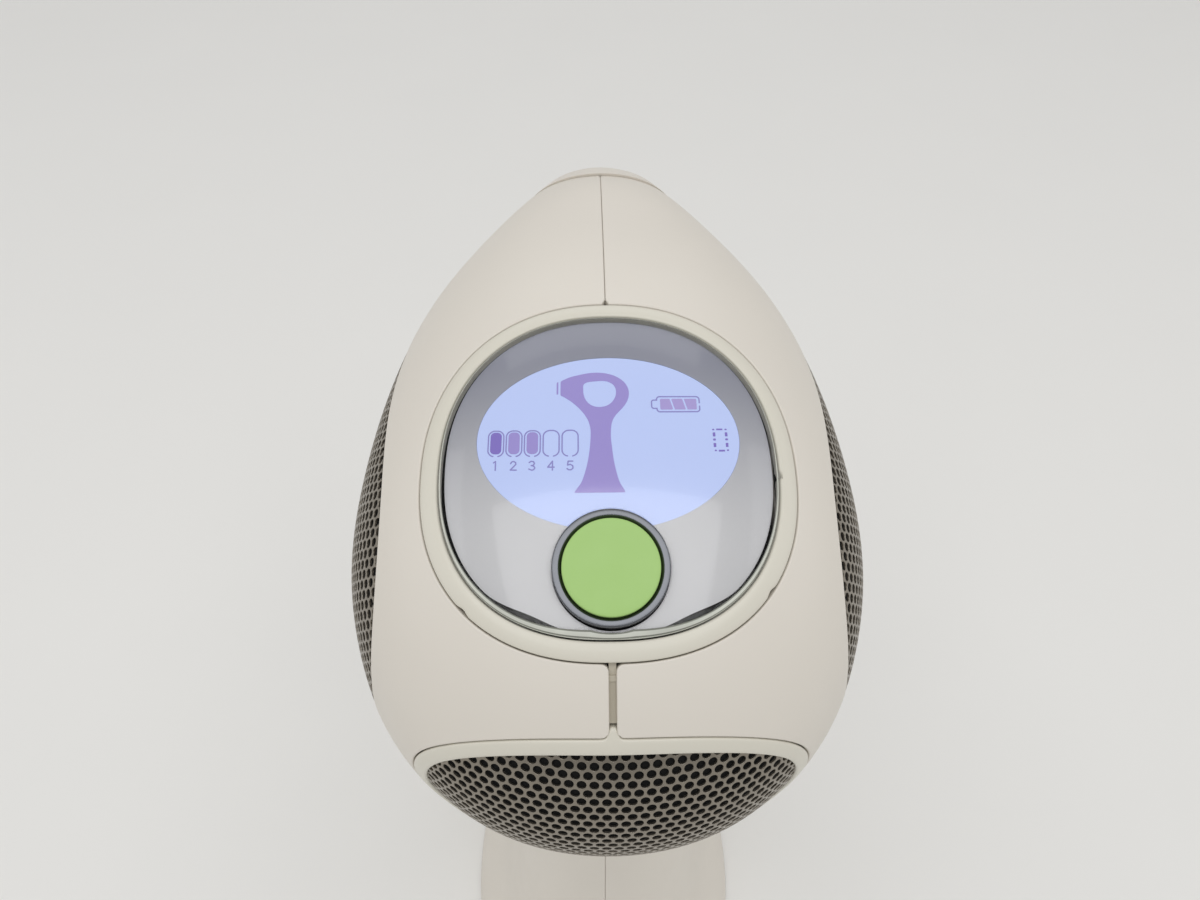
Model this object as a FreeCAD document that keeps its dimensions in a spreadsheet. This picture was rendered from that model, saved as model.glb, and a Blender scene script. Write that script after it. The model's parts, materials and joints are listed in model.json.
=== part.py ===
# Cordless light-based hair remover, standing on its flared foot.
# Millimetres. +Z up, the nose points along +Y, the display and button face -Y and up, +X is right.
# The origin is the centre of the foot's underside.
import FreeCAD, Part
import math
import os
import re
import Sketcher
from FreeCAD import Placement, Rotation, Vector

doc = FreeCAD.newDocument("HairRemover")

# ---------------------------------------------------------------- driving dimensions
DRIVING = [
    ("head_height", 105, "neck plane to crown"),
    ("head_width", 77, "widest place of the head"),
    ("handle_height", 95, "foot to neck plane"),
    ("neck_setback", 3, "neck centre behind the foot's centre"),
    ("foot_length", 84.4, "foot along Y"),
    ("foot_width", 70, "foot along X"),
    ("wall", 2.4, "moulded wall of the shells"),
    ("panel_depth", 1.4, "thickness of each panel let into the wall"),
    ("ledge", 2, "width of the ledge a panel sits on"),
    ("panel_gap", 0.15, "gap round a panel's edge"),
    ("seat_gap", 0.05, "gap under a panel"),
    ("clearance", 0.4, "gap between inner modules and the shells"),
    ("window_width", 44.0, "clear display window along X"),
    ("window_length", 45.9, "clear display window front to back"),
    ("bezel_rim", 2.4, "width of the ring round the window"),
    ("deck_depth", 1.2, "thickness of the grey deck under the window"),
    ("lcd_width", 34.2, "display opening along X"),
    ("lcd_length", 24.9, "display opening front to back"),
    ("lcd_depth", 1.6, "display panel thickness"),
    ("backlight_depth", 1.4, "backlight thickness"),
    ("board_depth", 1.2, "circuit board thickness"),
    ("button_radius", 5.9, "green cap"),
    ("button_stand", 0.9, "cap above the window's skin"),
    ("button_travel", 0.8, "travel of the cap"),
    ("button_ring_radius", 7.1, "outside of the bright ring"),
    ("grille_width", 49, "rear grille along X"),
    ("grille_height", 32, "rear grille along Z"),
    ("frame_rim", 1.7, "width of the frame round the rear grille"),
    ("slot_width", 0.9, "slot behind the display"),
    ("tip_length", 10, "frame that forms the nose's end"),
    ("ring_width", 17.6, "contact ring along X"),
    ("ring_height", 18.6, "contact ring along Z"),
    ("ring_rim", 1.6, "contact ring's thickness"),
    ("ring_stand", 1.8, "contact ring in front of the nose"),
    ("ring_travel", 1.5, "travel of the contact ring"),
    ("slide_gap", 0.2, "gap between sliding pieces"),
    ("duct_wall", 1, "wall of the light duct"),
    ("lamp_radius", 2, "flash lamp tube"),
    ("battery_radius", 9.2, "battery cell"),
    ("battery_length", 65, "battery cell"),
    ("capacitor_radius", 7.5, "storage capacitor"),
    ("fan_size", 40, "fan frame's side"),
    ("fan_depth", 10, "fan frame along X"),
    ("fan_shaft_radius", 1.5, "fan shaft"),
    ("running_gap", 0.05, "gap round a turning shaft"),
    ("web_depth", 1.6, "thickness of the chassis web"),
    ("recess_radius", 11, "charging recess in the foot"),
    ("recess_depth", 4, "charging recess in the foot"),
    ("base_depth", 2.5, "base plate"),
    ("pad_depth", 1.2, "rubber sheet under the base plate"),
    ("screw_radius", 1.2, "self-tapping screw's shank"),
    ("screw_head_radius", 2.3, "self-tapping screw's head"),
]

sheet = doc.addObject("Spreadsheet::Sheet", "Sizes")
sizes = {}
for row, (alias, amount, note) in enumerate(DRIVING, start=1):
    sheet.set("A%d" % row, note)
    sheet.set("B%d" % row, str(amount))
    sheet.setAlias("B%d" % row, alias)
    sizes[alias] = float(amount)
doc.recompute()


def bound(text):
    """The expression with each driving dimension's name turned into its cell."""
    return re.sub(r"[a-z][a-z_]*", lambda word: "Sizes." + word[0] if word[0] in sizes else word[0], text)


def value(text):
    """What an expression in the driving dimensions comes to."""
    return float(sheet.evalExpression(text))


def size(alias):
    return sizes[alias]


WALL = size("wall")
PANEL = size("panel_depth")
GAP = size("clearance")
TILE = size("panel_gap")
SEAT = size("seat_gap")

# ---------------------------------------------------------------- the outer form
# The head is a fan of flat sections about a line along X in front of the chin; the handle is level sections.
# Each head station: fan angle from +Y, inner and outer radius, half-width, for a head 105 high and 77 wide.
HEAD_STATIONS = [
    (90.0, 66.4, 89.6, 10.1),
    (90.5, 65.1, 90.9, 11.2),
    (91.5, 64.4, 91.9, 12.2),
    (98, 61.7, 97.5, 16.8),
    (106, 58.6, 104.7, 23.7),
    (114, 56.2, 113.9, 29.9),
    (122, 54.5, 124.0, 34.3),
    (130, 53.3, 133.6, 37.3),
    (138, 52.7, 140.4, 38.5),
    (143, 52.5, 142.0, 37.1),
    (147, 52.4, 140.6, 34.6),
    (150.5, 52.4, 137.0, 30.6),
    (154, 52.4, 129.8, 26.4),
    (157.5, 52.4, 118.5, 22.8),
    (161, 52.3, 103.5, 20.2),
    (165, 52.2, 94.0, 17.7),
    (172, 52.1, 87.8, 15.6),
    (180, 51.9, 86.0, 15.2),
]
MODEL_HEAD_HEIGHT = 105
MODEL_HEAD_WIDTH = 77
NECK_MIDDLE = (HEAD_STATIONS[-1][1] + HEAD_STATIONS[-1][2]) / 2
MODEL_FAN_Y = NECK_MIDDLE - 3
MODEL_NECK_Z = 95
# Height as a share of the handle, and the share of the way from the neck's section to the foot's.
FLARE = [(0.8, 0.045), (0.6, 0.14), (0.42, 0.275), (0.26, 0.45), (0.13, 0.67), (0.03, 0.945), (0.0, 1.0)]
FULLNESS = 0.06
SECTION_POINTS = 24
SECTION_START = math.radians(150)
BAND_STEPS = 16
END_OVERRUN = 3

SCALE = size("head_height") / MODEL_HEAD_HEIGHT
SIDE_SCALE = size("head_width") / MODEL_HEAD_WIDTH
NECK_Z = size("handle_height")
FAN_Y = NECK_MIDDLE * SCALE - size("neck_setback")


def head_y(model_y):
    """Y of a place in the head, given as on a head 105 high."""
    return FAN_Y + (model_y - MODEL_FAN_Y) * SCALE


def head_z(model_z):
    """Z of a place in the head, given as on a head 105 high over a neck at 95."""
    return NECK_Z + (model_z - MODEL_NECK_Z) * SCALE


def body_stations():
    """Every section as inner (Y, Z), outer (Y, Z) and half-width, from the nose round to the foot."""
    stations = []
    for angle, inner, outer, half_width in HEAD_STATIONS:
        along_y = math.cos(math.radians(angle)) * SCALE
        along_z = math.sin(math.radians(angle)) * SCALE
        stations.append((
            Vector(0, FAN_Y + inner * along_y, NECK_Z + inner * along_z),
            Vector(0, FAN_Y + outer * along_y, NECK_Z + outer * along_z),
            half_width * SIDE_SCALE,
        ))
    neck_inner, neck_outer, neck_half = stations[-1]
    for share, flare in FLARE:
        front = neck_inner.y + flare * (size("foot_length") / 2 - neck_inner.y)
        back = neck_outer.y + flare * (-size("foot_length") / 2 - neck_outer.y)
        half_width = neck_half + flare * (size("foot_width") / 2 - neck_half)
        stations.append((
            Vector(0, front, share * NECK_Z),
            Vector(0, back, share * NECK_Z),
            half_width,
        ))
    return stations


def inset_stations(inset):
    """The sections moved inward so that the skin lies the given depth inside the outer one."""
    stations = body_stations()
    last = len(stations) - 1
    moved = []
    for index, (inner, outer, half_width) in enumerate(stations):
        before = stations[max(index - 1, 0)]
        after = stations[min(index + 1, last)]
        across = (outer - inner).normalize()
        lean_inner = across.cross((after[0] - before[0]).normalize()).Length
        lean_outer = across.cross((after[1] - before[1]).normalize()).Length
        middle_step = (after[0] + after[1] - before[0] - before[1]).Length / 2
        lean_side = middle_step / math.hypot(middle_step, after[2] - before[2])
        if index < 3:
            lean_inner = lean_outer = lean_side = 1.0
        moved.append((
            inner + across * (inset / max(lean_inner, 0.3)),
            outer - across * (inset / max(lean_outer, 0.3)),
            half_width - inset / max(lean_side, 0.3),
        ))
    return moved


def section_point(station, turn):
    """A point of a section: turn 0 is its outer end, 180 degrees its inner end."""
    inner, outer, half_width = station
    reach = math.cos(turn)
    swell = math.sin(turn) + FULLNESS * math.sin(3 * turn)
    point = (inner + outer) * 0.5 + (outer - inner) * (0.5 * reach)
    return Vector(half_width / (1 - FULLNESS) * swell, point.y, point.z)


def extended_stations(inset, overrun):
    """The moved sections with both ends carried on straight, past the nose face and below the foot."""
    stations = inset_stations(inset)[2:]
    inner, outer, half_width = stations[0]
    ahead = Vector(0, FAN_Y + overrun - (inner.y + outer.y) / 2, 0)
    stations.insert(0, (inner + ahead, outer + ahead, half_width))
    (inner_above, outer_above, half_above), (inner, outer, half_width) = stations[-2:]
    reach = overrun / (inner_above.z - inner.z)
    stations.append((
        inner + (inner - inner_above) * reach,
        outer + (outer - outer_above) * reach,
        half_width + (half_width - half_above) * reach,
    ))
    return stations


def body_solid(inset):
    """The closed form inside a skin; the outer one ends at the nose face, the others run past both ends."""
    stations = extended_stations(inset, END_OVERRUN) if inset else body_stations()
    wires = []
    for station in stations:
        turns = [SECTION_START + 2 * math.pi * k / SECTION_POINTS for k in range(SECTION_POINTS)]
        curve = Part.BSplineCurve()
        curve.interpolate(Points=[section_point(station, turn) for turn in turns], PeriodicFlag=True)
        wires.append(Part.Wire([curve.toShape()]))
    return Part.makeLoft(wires, True, False, False, 3)


def band_solid(top, bottom, start, end):
    """The wall between two skins and two turns of the sections, lofted as one closed strip."""
    turns = [start + (end - start) * k / BAND_STEPS for k in range(BAND_STEPS + 1)]
    wires = []
    for over, under in zip(extended_stations(top, END_OVERRUN), extended_stations(bottom, END_OVERRUN)):
        outside = [section_point(over, turn) for turn in turns]
        inside = [section_point(under, turn) for turn in reversed(turns)]
        edges = []
        for points, following in ((outside, inside), (inside, outside)):
            curve = Part.BSplineCurve()
            curve.interpolate(Points=points)
            edges += [curve.toShape(), Part.makeLine(points[-1], following[0])]
        wires.append(Part.Wire(edges))
    return Part.makeLoft(wires, True, False, False, 3)


# ---------------------------------------------------------------- document helpers
nodes = []
skins = {}


def node(piece):
    """Marks a piece as one of the finished sub-parts; its name is its label."""
    piece.Label = piece.Name
    nodes.append(piece)
    return piece


def feature(name, shape):
    piece = doc.addObject("Part::Feature", name)
    piece.Shape = shape
    return piece


def body_at(depth):
    key = round(depth, 3)
    if key not in skins:
        skins[key] = body_solid(key)
    return skins[key].copy()


def skin(depth):
    """A fresh piece holding the closed form inside the skin at a depth."""
    return feature("Skin%d" % round(1000 * depth), body_at(depth))


def band(name, top, bottom, start, end):
    """A strip of wall between two depths, from one turn of the sections to another, in degrees."""
    return feature(name, band_solid(top, bottom, math.radians(start), math.radians(end)))


def box(name, lengths, corner, rotation=Rotation()):
    """A Part::Box with its three lengths bound to the sheet and its low corner at a place."""
    piece = doc.addObject("Part::Box", name)
    for side, text in zip(("Length", "Width", "Height"), lengths):
        piece.setExpression(side, bound(str(text)))
    piece.Placement = Placement(Vector(*corner), rotation)
    return piece


def cylinder(name, radius, height, base, axis=Vector(0, 0, 1)):
    """A Part::Cylinder with its sizes bound to the sheet, standing on a base point along an axis."""
    piece = doc.addObject("Part::Cylinder", name)
    piece.setExpression("Radius", bound(str(radius)))
    piece.setExpression("Height", bound(str(height)))
    piece.Placement = Placement(Vector(*base), Rotation(Vector(0, 0, 1), Vector(*axis)))
    return piece


def fuse(name, pieces):
    piece = doc.addObject("Part::MultiFuse", name)
    piece.Shapes = pieces
    return piece


def common(name, first, second):
    piece = doc.addObject("Part::Common", name)
    piece.Base = first
    piece.Tool = second
    return piece


def cut(name, base, tools):
    """The base without the tools."""
    piece = doc.addObject("Part::Cut", name)
    piece.Base = base
    piece.Tool = tools[0] if len(tools) == 1 else fuse(name + "Tools", tools)
    return piece


def sketch_loop(sketch, points):
    """A closed polygon whose corners are bound to the sheet; each point is a pair of expressions."""
    first = sketch.GeometryCount
    count = len(points)
    places = [Vector(value(across), value(along), 0) for across, along in points]
    for index in range(count):
        sketch.addGeometry(Part.LineSegment(places[index], places[(index + 1) % count]))
    for index in range(count):
        following = first + (index + 1) % count
        sketch.addConstraint(Sketcher.Constraint("Coincident", first + index, 2, following, 1))
    for index, (place, texts) in enumerate(zip(places, points)):
        for kind, amount, text in (("DistanceX", place.x, texts[0]), ("DistanceY", place.y, texts[1])):
            constraint = Sketcher.Constraint(kind, -1, 1, first + index, 1, amount)
            number = sketch.addConstraint(constraint)
            sketch.setExpression("Constraints[%d]" % number, bound(text))


def design_sketch(name, plane):
    """A new PartDesign body with an empty sketch on one of its own origin planes."""
    body = doc.addObject("PartDesign::Body", name)
    sketch = body.newObject("Sketcher::SketchObject", name + "Sketch")
    support = [part for part in body.Origin.OriginFeatures if part.Role == plane][0]
    sketch.AttachmentSupport = [(support, "")]
    sketch.MapMode = "FlatFace"
    return body, sketch


def revolved(name, points, placement=Placement()):
    """A body turned about its own Z from a profile of (radius, height) expressions."""
    body, sketch = design_sketch(name, "XZ_Plane")
    sketch_loop(sketch, points)
    turned = body.newObject("PartDesign::Revolution", name + "Turned")
    turned.Profile = sketch
    turned.ReferenceAxis = (sketch, ["V_Axis"])
    turned.Angle = 360
    body.Placement = placement
    return body


def plate(name, points, depth, placement=Placement(), holes=()):
    """A body padded up along its own Z from a polygon, with round holes given as (x, y, radius)."""
    body, sketch = design_sketch(name, "XY_Plane")
    sketch_loop(sketch, points)
    for across, along, radius in holes:
        centre = Vector(value(across), value(along), 0)
        circle = sketch.addGeometry(Part.Circle(centre, Vector(0, 0, 1), value(radius)))
        for kind, amount, text in (("DistanceX", centre.x, across), ("DistanceY", centre.y, along)):
            number = sketch.addConstraint(Sketcher.Constraint(kind, -1, 1, circle, 3, amount))
            sketch.setExpression("Constraints[%d]" % number, bound(text))
        number = sketch.addConstraint(Sketcher.Constraint("Radius", circle, value(radius)))
        sketch.setExpression("Constraints[%d]" % number, bound(radius))
    pad = body.newObject("PartDesign::Pad", name + "Pad")
    pad.Profile = sketch
    pad.setExpression("Length", bound(depth))
    body.Placement = placement
    return body


def rectangle(half_across, half_along):
    """Corner expressions of a rectangle about the origin."""
    return [
        ("-(%s)" % half_across, "-(%s)" % half_along),
        (half_across, "-(%s)" % half_along),
        (half_across, half_along),
        ("-(%s)" % half_across, half_along),
    ]


# ---------------------------------------------------------------- outlines let into the skin
OUTLINE_POINTS = 32
OUTLINE_START = 0.4


def closed_curve_face(points):
    curve = Part.BSplineCurve()
    curve.interpolate(Points=points, PeriodicFlag=True)
    return Part.Face(Part.Wire([curve.toShape()]))


def oval_prism(name, half_across, half_along, power, centre, axis, low, high):
    """A superellipse |x/a|^p + |y/b|^p = 1 square to an axis, carried from low to high along it."""
    across = Vector(1, 0, 0)
    along = axis.cross(across).normalize()
    points = []
    for index in range(OUTLINE_POINTS):
        turn = OUTLINE_START + 2 * math.pi * index / OUTLINE_POINTS
        reach_x = math.copysign(abs(math.cos(turn)) ** (2 / power), math.cos(turn))
        reach_y = math.copysign(abs(math.sin(turn)) ** (2 / power), math.sin(turn))
        place = across * (half_across * reach_x) + along * (half_along * reach_y)
        points.append(centre + place + axis * low)
    return feature(name, closed_curve_face(points).extrude(axis * (high - low)))


def skin_along(origin, direction, depth, reach=150.0):
    """Distance from an inner point to the skin at a depth, along a direction."""
    line = Part.makeLine(origin, origin + direction * reach)
    inside = body_at(depth).common(line)
    return max(vertex.Point.sub(origin).dot(direction) for vertex in inside.Vertexes)


def crown_at(y, depth=0.0):
    """Height of the skin over a place on the centre line of the head."""
    return NECK_Z + skin_along(Vector(0, y, NECK_Z), Vector(0, 0, 1), depth)


def room(y, z, depth):
    """Half-width of the form inside a depth at a place of the side view."""
    return skin_along(Vector(0, y, z), Vector(1, 0, 0), depth)


# The display window is let into the top; its axis stands square to the chord between its two ends.
DISPLAY_MIDDLE_Y = head_y(-16.15)
WINDOW_POWER = 2.3
WINDOW_LEAN = 0.97
window_front = Vector(0, DISPLAY_MIDDLE_Y + WINDOW_LEAN * size("window_length") / 2, 0)
window_front.z = crown_at(window_front.y)
window_back = Vector(0, DISPLAY_MIDDLE_Y - WINDOW_LEAN * size("window_length") / 2, 0)
window_back.z = crown_at(window_back.y)
DISPLAY_CENTRE = (window_front + window_back) * 0.5
DISPLAY_ALONG = (window_front - window_back).normalize()
DISPLAY_AXIS = Vector(1, 0, 0).cross(DISPLAY_ALONG)
WINDOW_LEDGE = 0.7


def window_prism(name, grow):
    half_across = size("window_width") / 2 + grow
    half_along = size("window_length") / 2 + grow
    return oval_prism(name, half_across, half_along, WINDOW_POWER, DISPLAY_CENTRE, DISPLAY_AXIS, -25, 20)


# The side grille's outline in the side view, on a head 105 high.
SIDE_OUTLINE = [
    (26.6, 181), (21, 184.6), (8, 186.6), (-4, 187.5), (-14, 187), (-23, 184.2), (-30.2, 178.6), (-34, 170),
    (-33.6, 160.5), (-29.5, 151), (-21.5, 143), (-11, 138.6), (0, 137.8), (10, 140), (18, 145.2), (24, 153),
    (27.2, 163), (27.8, 173),
]


def side_prism(name, grow, start, end):
    """The side grille's outline, grown all round, carried along X."""
    flat = [Vector(0, head_y(y), head_z(z)) for y, z in SIDE_OUTLINE]
    count = len(flat)
    points = []
    for index, point in enumerate(flat):
        tangent = (flat[(index + 1) % count] - flat[index - 1]).normalize()
        outward = tangent.cross(Vector(1, 0, 0))
        if outward.dot(point - Vector(0, head_y(-3), head_z(162))) < 0:
            outward = outward * -1
        points.append(point + outward * grow + Vector(start, 0, 0))
    return feature(name, closed_curve_face(points).extrude(Vector(end - start, 0, 0)))


REAR_CENTRE = Vector(0, 0, head_z(163.3))
REAR_POWER = 2.2
REAR_FRAME_DROP = 0.1


def rear_prism(name, grow):
    """The rear grille's outline, grown all round, carried back along -Y."""
    half_across = size("grille_width") / 2 + grow
    half_along = size("grille_height") / 2 + grow
    back = -head_y(-70)
    return oval_prism(name, half_across, half_along, REAR_POWER, REAR_CENTRE, Vector(0, -1, 0), 15, back)


TOP_TURNS = (-115, 115)
SIDE_TURNS = (8, 172)
COVER = -6


def layer(name, prism, top, bottom, turns=TOP_TURNS):
    """The part of a prism between two skin depths."""
    return common(name, band(name + "Band", top, bottom, *turns), prism)


# ---------------------------------------------------------------- the button's place
BUTTON_MARGIN = 1.4
button_back = size("button_ring_radius") + BUTTON_MARGIN
button_y = window_back.y + button_back * DISPLAY_ALONG.y * 0.9
BUTTON_PLACE = Vector(0, button_y, crown_at(button_y))
slope = Vector(0, 2, crown_at(button_y + 1) - crown_at(button_y - 1)).normalize()
BUTTON_AXIS = Vector(1, 0, 0).cross(slope)
button_placement = Placement(BUTTON_PLACE, Rotation(Vector(0, 0, 1), BUTTON_AXIS))
GUIDE_RADIUS = "button_radius + 2.5"
SWITCH_DEPTH = 9.6


def button_cylinder(name, radius, low, high):
    """A cylinder about the button's axis, between two distances from the skin."""
    return cylinder(name, radius, high - low, BUTTON_PLACE + BUTTON_AXIS * low, BUTTON_AXIS)


# ---------------------------------------------------------------- the two shells
TIP_SEAM_Y = FAN_Y - size("tip_length")
RIM_Z = 0.5
BIG = 300
BOSS_RADIUS = 3.6
BOSS_PLACES = {"front": (head_y(23.6), head_z(168)), "rear": (head_y(-30.2), head_z(160))}
WEB_HALF = size("web_depth") / 2
SCREW_SEAT_X = 12
SCREW_END_X = -10
FOOT_BOSS_X = 0.6 * size("foot_width") / 2
FOOT_BOSS_RADIUS = 3.2
FOOT_BOSS_HEIGHT = 12
PLATE_TOP = "pad_depth + base_depth"


def build_shells():
    """The right shell is carved cut by cut from the wall's right half; the left one is its mirror image."""
    seat = PANEL + SEAT
    cutters = [
        box("NoseEnd", (BIG, BIG, BIG), (-BIG / 2, TIP_SEAM_Y - SEAT, 0)),
        box("BelowRim", (BIG, BIG, BIG), (-BIG / 2, -BIG / 2, RIM_Z - BIG)),
        layer("SidePocket", side_prism("SidePocketOutline", TILE, 5, BIG / 4), COVER, seat, SIDE_TURNS),
        side_prism("SideHole", -size("ledge"), 5, BIG / 4),
        layer("BezelPocket", window_prism("BezelPocketOutline", size("bezel_rim") + TILE), COVER, seat),
        window_prism("WindowHole", -WINDOW_LEDGE),
        layer("RearPocket", rear_prism("RearPocketOutline", size("frame_rim") + TILE), COVER, seat),
        rear_prism("RearHole", -size("ledge")),
        seam_slot("SeamSlot", 0),
    ]
    carved = band("RightWall", 0, WALL, 0, 180)
    for cutter in cutters:
        carved = cut("RightWallLess" + cutter.Name, carved, [cutter])
    for boss in shell_bosses():
        carved = fuse("RightWallWith" + boss.Name, [carved, boss])
    left_bores = []
    right_bores = []
    for name, (y, z) in BOSS_PLACES.items():
        base = (SCREW_SEAT_X, y, z)
        bore_radius = "screw_head_radius + slide_gap"
        right_bores.append(cylinder("HeadBore_" + name, bore_radius, 60, base, (1, 0, 0)))
        base = (WEB_HALF - 1, y, z)
        right_bores.append(cylinder("ShankBore_" + name, "screw_radius + running_gap", 30, base, (1, 0, 0)))
        left_bores.append(cylinder("GripBore_" + name, "screw_radius + running_gap", 14, base, (1, 0, 0)))
    foot_bore = cylinder("FootBore", "screw_radius + running_gap", FOOT_BOSS_HEIGHT, (FOOT_BOSS_X, 0, 0))
    node(cut("right_shell", carved, right_bores + [foot_bore]))
    left = doc.addObject("Part::Mirroring", "left_shell")
    left.Source = cut("LeftSource", carved, left_bores + [foot_bore])
    left.Normal = Vector(1, 0, 0)
    node(left)


def seam_slot(name, grow):
    """The narrow slot on the centre line between the display's ring and the rear grille's frame."""
    low = head_z(178.5)
    high = window_back.z - 0.3
    width = "slot_width + %g" % (2 * grow)
    half = size("slot_width") / 2 + grow
    back = head_y(-75)
    return box(name, (width, str(head_y(-38) - back), str(high - low)), (-half, back, low))


def shell_bosses():
    """Screw towers inside the right half: two in the head, under the side grille, and one in the foot."""
    towers = []
    for name, (y, z) in BOSS_PLACES.items():
        start = WEB_HALF + SEAT
        tower = cylinder("Tower_" + name, BOSS_RADIUS, 60, (start, y, z), (1, 0, 0))
        towers.append(common("Boss_" + name, tower, skin(PANEL + 3 * SEAT)))
    base = value(PLATE_TOP) + SEAT
    post = cylinder("FootPost", FOOT_BOSS_RADIUS, FOOT_BOSS_HEIGHT, (FOOT_BOSS_X, 0, base))
    rib = box("FootRib", ("foot_width / 2", 2, FOOT_BOSS_HEIGHT), (FOOT_BOSS_X, -1, base))
    towers.append(common("FootBoss", fuse("FootTower", [post, rib]), skin(PANEL + 3 * SEAT)))
    return towers


# ---------------------------------------------------------------- panels let into the shells
def build_panels():
    ring = layer("BezelLayer", window_prism("BezelOutline", size("bezel_rim")), 0, PANEL)
    node(cut("display_bezel", ring, [window_prism("WindowGap", TILE)]))
    button_hole = button_cylinder("WindowBore", "button_ring_radius + panel_gap", -12, 8)
    window = layer("WindowLayer", window_prism("WindowOutline", 0), 0, PANEL)
    node(cut("display_window", window, [button_hole]))
    top = PANEL + SEAT
    deck_prism = window_prism("DeckOutline", -WINDOW_LEDGE - TILE)
    deck = layer("DeckLayer", deck_prism, top, top + size("deck_depth"))
    lcd_hole = lcd_prism("LcdHole", 0, -25, 20)
    node(cut("display_deck", deck, [lcd_hole, button_hole]))
    rear_outline = rear_prism("RearOutline", -TILE)
    node(layer("rear_grille", rear_outline, REAR_FRAME_DROP, PANEL))
    frame = layer("FrameLayer", rear_prism("FrameOutline", size("frame_rim")), 0, PANEL)
    frame_slot = seam_slot("FrameSlot", TILE)
    node(cut("rear_grille_frame", frame, [rear_prism("FrameHole", 0), frame_slot]))
    strip_outline = seam_slot("StripOutline", -SEAT)
    strip = layer("StripLayer", strip_outline, PANEL / 2, WALL)
    ring_keep = window_prism("StripFront", size("bezel_rim") + 2 * TILE)
    rear_keep = rear_prism("StripRear", size("frame_rim") + 2 * TILE)
    node(cut("rear_seam_strip", strip, [ring_keep, rear_keep]))
    right = layer("right_side_grille", side_prism("SideOutline", 0, 5, BIG / 4), 0, PANEL, SIDE_TURNS)
    node(right)
    left = doc.addObject("Part::Mirroring", "left_side_grille")
    left.Source = right
    left.Normal = Vector(1, 0, 0)
    node(left)


# ---------------------------------------------------------------- the display under the window
LCD_SHIFT = 2.0
LCD_CENTRE = DISPLAY_CENTRE + DISPLAY_ALONG * LCD_SHIFT
DECK_BOTTOM = PANEL + SEAT + size("deck_depth")


def lcd_prism(name, grow, low, high):
    half_across = size("lcd_width") / 2 + grow
    half_along = size("lcd_length") / 2 + grow
    return oval_prism(name, half_across, half_along, 2, LCD_CENTRE, DISPLAY_AXIS, low, high)


def lcd_top():
    """Highest level over the chord at which the flat display stays under the curved deck."""
    levels = []
    for index in range(16):
        turn = 2 * math.pi * index / 16
        across = (size("lcd_width") / 2 + 1) * math.cos(turn)
        along = (size("lcd_length") / 2 + 1) * math.sin(turn)
        place = LCD_CENTRE + Vector(across, 0, 0) + DISPLAY_ALONG * along - DISPLAY_AXIS * 20
        levels.append(skin_along(place, DISPLAY_AXIS, DECK_BOTTOM) - 20)
    return min(levels) - SEAT


LCD_TOP = lcd_top()
BACKLIGHT_TOP = LCD_TOP - size("lcd_depth") - SEAT
BOARD_TOP = BACKLIGHT_TOP - size("backlight_depth") - SEAT
DISPLAY_BOTTOM = BOARD_TOP - size("board_depth")


def build_display():
    barrel = button_cylinder("BarrelClear", GUIDE_RADIUS + " + clearance", -20, 8)
    panel = lcd_prism("LcdBlank", 0.9, LCD_TOP - size("lcd_depth"), LCD_TOP)
    node(cut("lcd_panel", panel, [barrel]))
    backlight = lcd_prism("BacklightBlank", 0.4, BACKLIGHT_TOP - size("backlight_depth"), BACKLIGHT_TOP)
    node(cut("lcd_backlight", backlight, [barrel]))
    board = lcd_prism("BoardBlank", 2.0, DISPLAY_BOTTOM, BOARD_TOP)
    node(cut("display_board", board, [barrel]))


# ---------------------------------------------------------------- the button
def build_button():
    inner = "button_radius + slide_gap"
    ring_profile = [
        (inner, "-3"), ("button_ring_radius", "-3"), ("button_ring_radius", "0.35"),
        ("button_ring_radius - 0.25", "0.55"), (inner + " + 0.25", "0.55"), (inner, "0.3"),
    ]
    node(revolved("button_ring", ring_profile, button_placement))
    cap_profile = [
        ("0", "-5.6"), ("1.8", "-5.6"), ("1.8", "-4.3"), ("button_radius + 0.8", "-4.3"),
        ("button_radius + 0.8", "-3.05"), ("button_radius", "-3.05"),
        ("button_radius", "button_stand - 1.1"), ("button_radius - 0.5", "button_stand - 0.5"),
        ("button_radius * 0.6", "button_stand - 0.12"), ("0", "button_stand"),
    ]
    node(revolved("power_button", cap_profile, button_placement))
    tube_profile = [
        ("button_radius + 1", "-%g" % SWITCH_DEPTH), (GUIDE_RADIUS, "-%g" % SWITCH_DEPTH),
        (GUIDE_RADIUS, "-1"), ("button_radius + 1", "-1"),
    ]
    tube = revolved("GuideTube", tube_profile, button_placement)
    ring_clear = button_cylinder("RingClear", "button_ring_radius + seat_gap", -3.05, 2)
    node(common("button_guide", cut("GuideBlank", tube, [ring_clear]), skin(DECK_BOTTOM + SEAT)))
    plunger_profile = [("0", "-7"), ("1.5", "-7"), ("1.5", "-5.65"), ("0", "-5.65")]
    node(revolved("switch_plunger", plunger_profile, button_placement))
    switch_base = BUTTON_PLACE + BUTTON_AXIS * -SWITCH_DEPTH
    turn = button_placement.Rotation
    corner = switch_base + turn.multVec(Vector(-3, -3, 0))
    block = box("SwitchBlock", (6, 6, 3.2), corner, turn)
    pocket = cylinder("SwitchPocket", "1.5 + running_gap", 3, BUTTON_PLACE + BUTTON_AXIS * -8, BUTTON_AXIS)
    node(cut("button_switch", block, [pocket]))
    board_low = -SWITCH_DEPTH - SEAT - size("board_depth")
    board = button_cylinder("button_board", GUIDE_RADIUS, board_low, board_low + size("board_depth"))
    node(board)


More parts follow.
